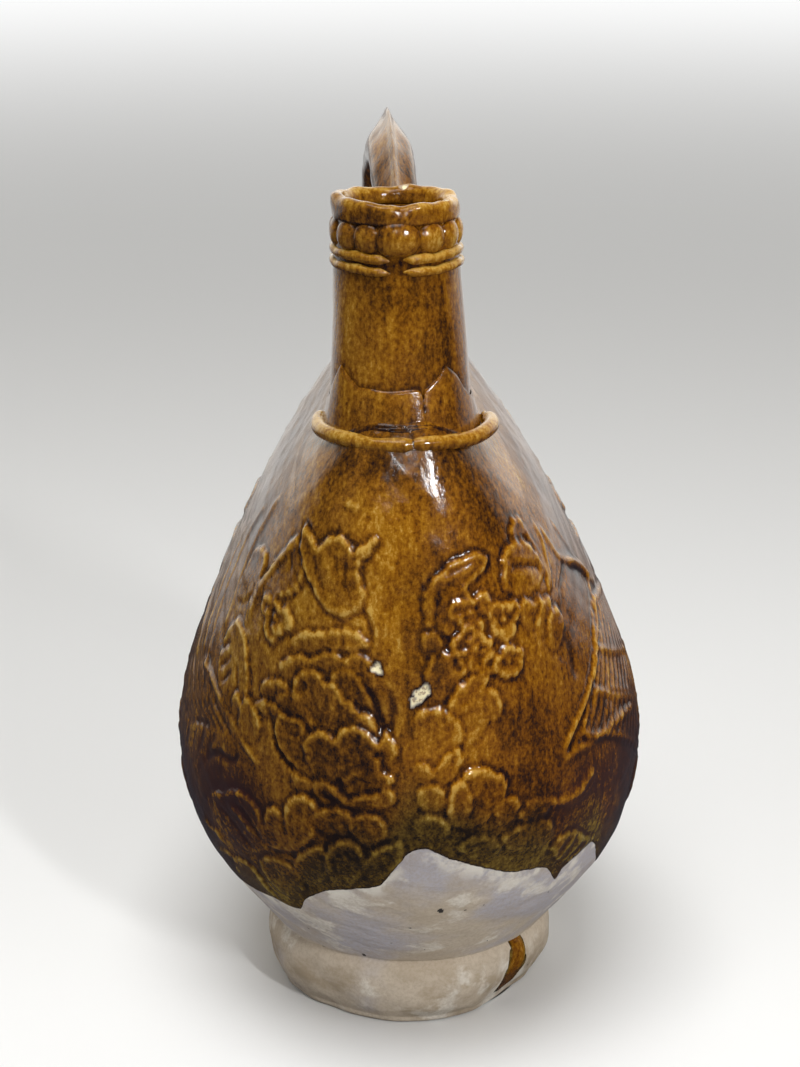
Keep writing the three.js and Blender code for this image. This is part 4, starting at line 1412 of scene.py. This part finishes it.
def sleeve_top(angles, slit_share=1.0):
    """Height of the sleeve's pointed upper edge, with so much of its slit."""
    nearest = np.abs(np.asarray(angles)[..., None] - np.array(SLEEVE_PEAKS)).min(-1)
    climb = np.maximum(0, 1 - nearest / SLEEVE_SPREAD)
    slit = hump(angles, SLEEVE_SLIT, 1.2)
    flank = ease(np.abs(angles), 52, 84) * ease(-np.abs(angles), -118, -100)
    edge = SHOULDER + SLEEVE_LOW + (SLEEVE_HIGH - SLEEVE_LOW) * climb
    return edge - SLEEVE_DROP * flank - SLIT_DEPTH * slit_share * slit


def spout_half(name, first, last):
    """One half of the neck, with painted shade round the beads and cords and over the sleeve's edge, partly
    where glaze pools.
    """
    angles = np.linspace(first, last, 91)
    foot = body_top(angles, NECK_FOOT_RADIUS) + JOINT
    deep = body_top(angles, BODY_HOLE) - WALL
    share = np.linspace(0, 1, 44)
    z = NECK_TOP + (foot[:, None] - NECK_TOP) * share
    outer = around(angles[:, None], neck_radius(z) + 0.1, z)
    outer += (outer - around(angles[:, None], 0.0, z)) / 20 * wobble(outer, 30, 0.25)[..., None]
    step = around(angles[:, None], BODY_HOLE - JOINT, np.stack([foot, deep], 1))
    inner = around(angles[:, None], BORE, deep[:, None] + (NECK_TOP - deep[:, None]) * np.linspace(0, 1, 12))
    rings = np.concatenate([outer, step, inner], 1)
    height = rings[..., 2]
    over_sleeve = height - sleeve_top(angles)[:, None]
    # Painted shade, partly pooled glaze: darker round the beads and cords and just over the sleeve's edge.
    dark = hump(height, LOWER_CORD + 1.5, 3.2) + hump(np.maximum(over_sleeve, 0), 0, 1.6)
    dark += 0.7 * hump(height, BEAD_HEIGHT, 4)
    points, faces = sweep(rings)
    shade = np.concatenate([-0.62 * np.clip(dark, 0, 1).ravel(), [0, 0]])
    return place(build(name + "_visual", points, faces, glazed, ridge=shade), [name], "amber_glaze")


SEAM_TURN = 0.01
spout_half("spout_half_left", SEAM_TURN - 180, -SEAM_TURN)
spout_half("spout_half_right", SEAM_TURN, 180 - SEAM_TURN)

# %% [markdown]
# ## The rolled lip
#
# A coil laid on the rim and pinched with the fingers: its upper edge goes up and down, and it dips to a
# notch at the front seam, where the halves meet.

# %% Lip
angles = np.linspace(-180, 180, 240, endpoint=False)
waves = np.sin(np.radians(3 * angles + 40)) + 0.7 * np.sin(np.radians(7 * angles))
waves += 0.5 * np.sin(np.radians(13 * angles + 70))
notch = hump(angles, 6, 9)
rise = 0.28 * waves - 1.0 * notch - 0.2 * hump(angles, 4, 22) + 0.9 * hump(angles, -60, 40)
swell = 0.22 * waves - 0.9 * notch
LIP_SECTION = [(13.5, 264.0), (17.6, 264.0), (17.65, 263.0), (18.1, 262.9), (18.35, 264.6), (18.3, 266.6)]
LIP_SECTION += [(17.8, 268.2), (16.5, 268.75), (15.0, 268.4), (14.0, 267.4), (13.5, 265.8)]
upper_share = ease(np.array([z for _, z in LIP_SECTION]), 264.5, 268)
rings = []
for lift, bulge, angle in zip(rise, swell, angles):
    section = np.array(LIP_SECTION) + np.stack([bulge * upper_share, lift * upper_share], 1)
    line = through(section, closed=True, steps=4)[:-1]
    rings.append(around(angle, line[:, 0], line[:, 1]))
rings = np.array(rings)
points, faces = sweep(rings, wrap=True)
# The coil is lighter along its top, with a painted shadow along its foot under the lip.
crest_and_shadow = ease(rings[..., 2], 266.5, 268.2) * 0.75 + 0.05 - 0.6 * (rings[..., 2] < 263.4)
flake = np.zeros(rings.shape[:2])
for angle, size in ((58, 2.0), (171, 1.6), (-8, 0.9)):
    spot = around(angle, 15.6, 268.5)
    flake = np.maximum(flake, ease(-np.linalg.norm(rings - spot, axis=2), -size, 0.6 - size))
points += (flake.ravel() * -0.5)[:, None] * (0, 0, 1)
coil = build("lip_coil_visual", points, faces, dipped, ridge=crest_and_shadow.ravel(), chip=flake.ravel())
place(coil, ["lip_coil"], "gold_glaze")

# %% [markdown]
# ## Beads and cords with Geometry Nodes
#
# The row of clay beads and the cords are things that repeat or follow a path, so node trees make them. The
# bead tree sets points round the spout, puts a flattened ball on each and varies their sizes a little. The
# cord tree turns a drawn line, with its thickness on every point, into a round coil with closed ends.


# %% Node trees
def new_tree(name, sizes):
    """A Geometry Nodes tree with a geometry, a material and named numbers as inputs."""
    tree = bpy.data.node_groups.new(name, "GeometryNodeTree")
    tree.interface.new_socket("Geometry", in_out="INPUT", socket_type="NodeSocketGeometry")
    for size in sizes:
        tree.interface.new_socket(size, in_out="INPUT", socket_type="NodeSocketFloat")
    tree.interface.new_socket("Finish", in_out="INPUT", socket_type="NodeSocketMaterial")
    tree.interface.new_socket("Geometry", in_out="OUTPUT", socket_type="NodeSocketGeometry")
    entry = tree.nodes.new("NodeGroupInput")
    return {socket.name: Flow(tree, socket) for socket in entry.outputs if socket.name}


def close_tree(geometry, finish):
    """Real geometry, smooth, in its finish."""
    real = geometry.make("GeometryNodeRealizeInstances", {}, {"Geometry": geometry})
    smooth = geometry.make("GeometryNodeSetShadeSmooth", {}, {0: real})
    done = geometry.make("GeometryNodeSetMaterial", {}, {"Geometry": smooth, "Material": finish})
    exit_node = geometry.tree.nodes.new("NodeGroupOutput")
    geometry.tree.links.new(done.socket, exit_node.inputs[0])


def from_tree(name, tree, mesh, values):
    """A plain mesh object from a tree: its inputs are set, it is evaluated once, and the modifier is gone."""
    source = bpy.data.objects.new(name + "_source", mesh)
    scene.collection.objects.link(source)
    modifier = source.modifiers.new(tree.name, "NODES")
    modifier.node_group = tree
    for item in tree.interface.items_tree:
        if item.in_out == "INPUT" and item.name in values:
            modifier[item.identifier] = values[item.name]
    bpy.context.view_layer.update()
    made = bpy.data.meshes.new_from_object(source.evaluated_get(bpy.context.evaluated_depsgraph_get()))
    bpy.data.objects.remove(source)
    made.name = name
    piece = bpy.data.objects.new(name, made)
    scene.collection.objects.link(piece)
    return piece


def store(geometry, name, value):
    """The geometry with a number on each of its points."""
    settings = {"data_type": "FLOAT", "domain": "POINT"}
    inputs = {"Geometry": geometry, "Name": name, "Value": value}
    return geometry.make("GeometryNodeStoreNamedAttribute", settings, inputs)


# %% Bead tree
BEAD_PLACES = ["Count", "First turn", "Last turn", "Ring", "Middle x", "Middle y", "Height"]
BEAD_SIZES = ["Width", "Depth", "Tall", "Variation"]
inputs = new_tree("bead_row", BEAD_PLACES + BEAD_SIZES)
start = inputs["Geometry"]
number = start.make("GeometryNodeInputIndex", {}, {})
gap = start.math("MAXIMUM", inputs["Count"] - 1.0, 1.0)
turn = inputs["First turn"] + (inputs["Last turn"] - inputs["First turn"]) * start.math("DIVIDE", number, gap)
across = inputs["Middle x"] + inputs["Ring"] * turn.math("SINE", turn, 0.0)
ahead = inputs["Middle y"] - inputs["Ring"] * turn.math("COSINE", turn, 0.0)
spot = start.make("ShaderNodeCombineXYZ", {}, {"X": across, "Y": ahead, "Z": inputs["Height"]})
row = start.make("GeometryNodePoints", {}, {"Count": inputs["Count"], "Position": spot})
ball = start.make("GeometryNodeMeshUVSphere", {}, {"Segments": 28, "Rings": 18, "Radius": 1.0})
position = start.make("GeometryNodeInputPosition", {}, {})
outward = position.part(1)
ball = store(store(ball, "ridge", outward * -1.4 - 0.8), "glaze", FAR_ABOVE)
half_sizes = {"X": inputs["Width"] * 0.5, "Y": inputs["Depth"], "Z": inputs["Tall"] * 0.5}
size = start.make("ShaderNodeCombineXYZ", {}, half_sizes)
limits = {2: 1.0 - inputs["Variation"], 3: 1.0 + inputs["Variation"], "Seed": 7}
vary = start.make("FunctionNodeRandomValue", {"data_type": "FLOAT"}, limits, output=1)
size = start.make("ShaderNodeVectorMath", {"operation": "SCALE"}, {0: size, "Scale": vary})
upright_turn = start.make("ShaderNodeCombineXYZ", {}, {"Z": turn})
face_out = start.make("FunctionNodeEulerToRotation", {}, {0: upright_turn})
set_on = {"Points": row, "Instance": ball, "Rotation": face_out, "Scale": size}
beads = start.make("GeometryNodeInstanceOnPoints", {}, set_on)
close_tree(beads, inputs["Finish"])
bead_tree = start.tree
print("tree:", bead_tree.name, len(bead_tree.nodes), "nodes")

# %% Cord tree
inputs = new_tree("cord_along_line", ["Sides"])
start = inputs["Geometry"]
line = start.make("GeometryNodeMeshToCurve", {}, {0: start})
thick = start.make("GeometryNodeInputNamedAttribute", {"data_type": "FLOAT"}, {"Name": "thick"})
ring = start.make("GeometryNodeCurvePrimitiveCircle", {}, {"Resolution": inputs["Sides"], "Radius": 1.0})
coil = {"Curve": line, "Profile Curve": ring, "Scale": thick, "Fill Caps": True}
skin = start.make("GeometryNodeCurveToMesh", {}, coil)
# Painted light from above: each coil is lighter on its upper side and darker underneath.
upward = start.make("GeometryNodeInputNormal", {}, {}).part(2)
skin = store(store(skin, "ridge", upward * 0.6 + 0.6), "glaze", FAR_ABOVE)
close_tree(skin, inputs["Finish"])
cord_tree = start.tree
print("tree:", cord_tree.name, len(cord_tree.nodes), "nodes")

# %% Beads
spout_lean = -LEAN * (BEAD_HEIGHT - BELLY)


def bead_row(name, count, first, last, width, tall, proud, depth, nodes):
    """Beads on the neck from a first to a last angle, each standing proud of it by so much."""
    ring = neck_radius(BEAD_HEIGHT) + JOINT + proud - depth
    places = {"Ring": ring, "Middle x": spout_lean, "Middle y": SPOUT_Y, "Height": BEAD_HEIGHT}
    places |= {"Width": width, "Depth": depth, "Tall": tall}
    values = {key: size * MM for key, size in places.items()}
    values |= {"Count": float(count), "First turn": math.radians(first), "Last turn": math.radians(last)}
    values |= {"Variation": 0.05, "Finish": glazed}
    place(from_tree(name, bead_tree, bpy.data.meshes.new(name), values), nodes, "gold_glaze")


bead_row("bead_row_visual", 13, 34.8, 332, 9.3, 9.2, 1.5, 2.7, [f"bead_{k}" for k in range(1, 14)])
bead_row("bead_front_visual", 1, 1.5, 1.5, 13.2, 10.8, 1.9, 3.2, ["bead_front"])


# %% Neck cords
def cord(name, points, thickness, node):
    """A coil along points in millimetres, with its half thickness at each."""
    line = bpy.data.meshes.new(name + "_line")
    line.from_pydata((leaned(points) * MM).tolist(), [(k, k + 1) for k in range(len(points) - 1)], [])
    values = np.broadcast_to(thickness, len(points)).astype(np.float32) * MM
    line.attributes.new("thick", "FLOAT", "POINT").data.foreach_set("value", values)
    return place(from_tree(name, cord_tree, line, {"Sides": 16.0, "Finish": glazed}), [node], "gold_glaze")


angles = np.linspace(5, 355, 180)
for name, z, half in (("neck_cord_upper", UPPER_CORD, 1.5), ("neck_cord_lower", LOWER_CORD, 1.4)):
    dip = 0.6 * np.maximum(np.cos(np.radians(angles)), 0) ** 4
    ends = 0.2 + 0.8 * ease(np.minimum(angles, 360 - angles), 3, 17)
    waver = 0.14 * np.sin(np.radians(7 * angles)) + 0.1 * np.sin(np.radians(17 * angles))
    rows = around(angles, neck_radius(z) + JOINT - half / 2 + 0.35 * ends, z - dip + waver)
    cord(name + "_visual", rows, half * ends * (1 + 0.3 * waver), name)

# %% [markdown]
# ## The sleeve and its cord
#
# Two thin sheets wrap the foot of the spout like leather tabs, each with pointed upper edges, and meet at a
# slit right of the front. A thick cord is laid round them on the shoulder. Its two lengths meet in a
# slanting join, and the far ends thin out against the body.

# %% Sleeves
SHEET_EDGE, SHEET_FLARE = 0.4, 1.8  # thickness at the upper edge, and how much more at the shoulder
SKIRT_START, SKIRT_END = 23.4, 24.4
SLIT_HALF = 0.03
CRISP = 0.08  # degrees between the last two rows at an end


def sleeve(name, first, last):
    """One sheet of the sleeve between two angles, with painted shade at the slit and on the skirt under the
    collar.
    """
    angles = np.concatenate([[first], np.linspace(first + CRISP, last - CRISP, 218), [last]])
    top = sleeve_top(angles) + 0.25 * np.sin(np.radians(9 * angles))
    wall_foot = body_top(angles, SKIRT_START) + 0.6
    share = np.linspace(0, 1, 20)
    z = top[:, None] + np.minimum(wall_foot - top, -1.5)[:, None] * share
    level = sleeve_top(angles, 0.0)
    flare = np.clip((level[:, None] - z) / np.maximum(level - wall_foot, 1.5)[:, None], 0, 1)
    out = neck_radius(z) + JOINT + SHEET_EDGE * ease(share, 0, 0.05) + SHEET_FLARE * flare
    in_front = ease(-np.abs(angles), -128, -108)[:, None]
    spread = SKIRT_START + (SKIRT_END - SKIRT_START) * in_front * np.linspace(0.2, 1, 6)
    lay = np.stack([body_top(angles, spread[:, k]) for k in range(6)], 1) + np.linspace(0.5, 0.15, 6)
    outer = around(angles[:, None], np.concatenate([out, spread], 1), np.concatenate([z, lay], 1))
    under = around(angles[:, None], np.maximum(spread[:, ::-2], 21.5), lay[:, ::-2] - 0.8)
    inner = around(angles[:, None], neck_radius(z[:, ::-4]) + JOINT * 0.6, z[:, ::-4])
    rings = np.concatenate([outer, under, inner], 1)
    points, faces = sweep(rings)
    # Painted light in a band below the upper edge, a painted dark line along the edge itself, and painted
    # shade on the skirt where it tucks under the collar.
    edge_light = 0.15 * hump(share, 0.16, 0.1) - 0.5 * hump(share, 0, 0.05)
    hidden = np.full(under.shape[1] + inner.shape[1], -0.5)
    shade = np.tile(np.concatenate([edge_light, np.linspace(-0.6, -1, 6), hidden]), (len(angles), 1))
    # Painted shade: a dark line down the slit.
    shade[:, :12] -= 0.9 * hump(angles, SLEEVE_SLIT, 1.3)[:, None]
    shade = np.concatenate([shade.ravel(), [0, 0]])
    return place(build(name + "_visual", points, faces, glazed, ridge=shade), [name], "amber_glaze")


sleeve("sleeve_left", SLIT_HALF - 180, SLEEVE_SLIT - SLIT_HALF)
sleeve("sleeve_right", SLEEVE_SLIT + SLIT_HALF, 180 - SLIT_HALF)

# %% Collar cord
COLLAR_RING, COLLAR_HALF = 25.3, 2.3
COLLAR_END, COLLAR_JOIN, JOIN_HALF = 112.0, 5.0, 0.4  # degrees from the front
COLLAR_SHIFT = (1.1, 0, 0)
for name, first, last in (
    ("collar_cord_left", -COLLAR_END, COLLAR_JOIN - JOIN_HALF),
    ("collar_cord_right", COLLAR_JOIN + JOIN_HALF, COLLAR_END),
):
    angles = np.linspace(first, last, 90)
    ends = 0.45 + 0.55 * ease(COLLAR_END - np.abs(angles), 0, 14)
    meet = 0.75 + 0.25 * ease(np.abs(angles - COLLAR_JOIN), 0, 6)
    path = around(angles, COLLAR_RING, SHOULDER + 0.2 * np.sin(np.radians(6 * angles))) + COLLAR_SHIFT
    cord(name + "_visual", path, COLLAR_HALF * ends * meet, name)

# %% [markdown]
# ## The loop handle
#
# One strap of clay bent over the ridge: its section is a ridge with hollow flanks, so that its front view
# is a pointed arch. The section is lofted along a smooth path and widens where it was luted to the
# shoulder.

# %% Handle
HANDLE_PATH = [(0.6, -13.4, 213.5), (0.6, -13.4, 242.85), (-0.5, -0.8, 265.1), (-2.0, 15.3, 272)]
HANDLE_PATH += [(-3.6, 31.4, 265.1), (-4.2, 44, 242.85), (-2, 44, 196.5)]
STRAP = [(0, 12.6), (1.25, 9.9), (3.1, 7.1), (5.8, 3.5), (6.9, -0.8), (5.2, -4.2), (0, -5)]
path = evenly(through(HANDLE_PATH, steps=30), 150)
ahead = np.gradient(path, axis=0)
ahead /= np.linalg.norm(ahead, axis=1, keepdims=True)
away = np.cross((1.0, 0, 0), ahead)
away /= np.linalg.norm(away, axis=1, keepdims=True)
beside = np.cross(ahead, away)
section = evenly(through(STRAP + [(-x, y) for x, y in STRAP[-2:0:-1]], closed=True), 49)[:-1]
widen = 1 + 0.35 * np.abs(np.linspace(-1, 1, len(path))) ** 6
from_path = section[:, :1] * beside[:, None] + section[:, 1:] * away[:, None]
strap = path[:, None] + widen[:, None, None] * from_path
strap += (wobble(strap, 28, 0.4) + wobble(strap, 9, 0.22))[..., None] * (strap - path[:, None]) / 8
strap_points, strap_faces = sweep(strap)
strap_shade = np.concatenate([np.tile(np.clip(section[:, 1] / 14 - 0.6, -0.8, 0.2), len(path)), [0, 0]])
loop = build("loop_handle_visual", strap_points, strap_faces, glazed, 65, ridge=strap_shade)
place(loop, ["loop_handle"], "amber_glaze")

# %% [markdown]
# ## The foot
#
# A wide bare ring under the body. It was trimmed by hand, so it is not quite round: at the right it is
# drawn in, its lower edge is worn, and one run of glaze goes down its side.

# %% Foot
FOOT_TOP, WELL = 24.25, 31.0
angles = np.linspace(-180, 180, 240, endpoint=False)
FOOT_OUTSIDE = [(42.5, 2.5), (45.0, 6.5), (46.6, 12), (46.5, 18), (45.6, 21.4), (44.3, 23.2)]
FOOT_OUTSIDE += [(44.5, FOOT_TOP)]
profile = through(FOOT_OUTSIDE, steps=8)
sole = through([(WELL + 1.5, 0.0), (36, 0.0), (40.4, 0.0), (42.0, 0.8), (42.5, 2.5)], steps=5)[:-1]
well = np.array([(WELL, FOOT_TOP), (WELL, 16), (WELL, 8), (WELL, 2), (WELL + 0.4, 0.6)])
section = np.maximum(np.concatenate([sole, profile, well]), 0)
turn = np.radians(angles)
across, ahead = section[:, 0] * np.sin(turn)[:, None], -section[:, 0] * np.cos(turn)[:, None]
foot_rings = np.stack(np.broadcast_arrays(across, ahead, section[:, 1]), -1)
low_share = 1 - ease(foot_rings[..., 2], 2, 20)
drawn_in = low_share * (4.5 * hump(angles, 50, 24) + 1.6 * hump(angles, -34, 16))[:, None]
on_outside = (section[:, 0] > 38) & (section[:, 1] < FOOT_TOP - 0.5)
uneven = wobble(foot_rings, 30, 0.8) + wobble(foot_rings, 11, 0.35)
shift = np.where(on_outside, (uneven - drawn_in) / 45, 0)
foot_rings[..., :2] *= 1 + shift[..., None]
points, faces = sweep(foot_rings, wrap=True)
down = 1 - foot_rings[..., 2] / FOOT_TOP
RUN_ANGLE, RUN_HALF, RUN_WIDENS = 51, 3.8, 3.6  # degrees, at the top and towards the sole
from_run = (angles[:, None] - RUN_ANGLE + 1.5 * down) / (RUN_HALF + RUN_WIDENS * down)
run = 1.8 - 1.8 * from_run**2 - 6 * (1 - ease(foot_rings[..., 2], 1.5, 5))
run = np.where(on_outside, np.where(run > 0, 30 * run, run), -9)
foot = build("foot_ring_visual", points, faces, dipped, 60, glaze=run.ravel())
place(foot, ["foot_ring"], "bare_clay")

base = next(piece for piece in scene.objects if piece.name == "base_disc")
base.data.materials.clear()
base.data.materials.append(bare)

# %% [markdown]
# ## Sizes
#
# The dressed flask has to stay within the solids' box, so both boxes are written down.

# %% Sizes
low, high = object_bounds()
for name, box in (("visual", high - low), ("CAD", cad_high - cad_low)):
    print(name, "box in mm", [round(v / MM, 1) for v in box])
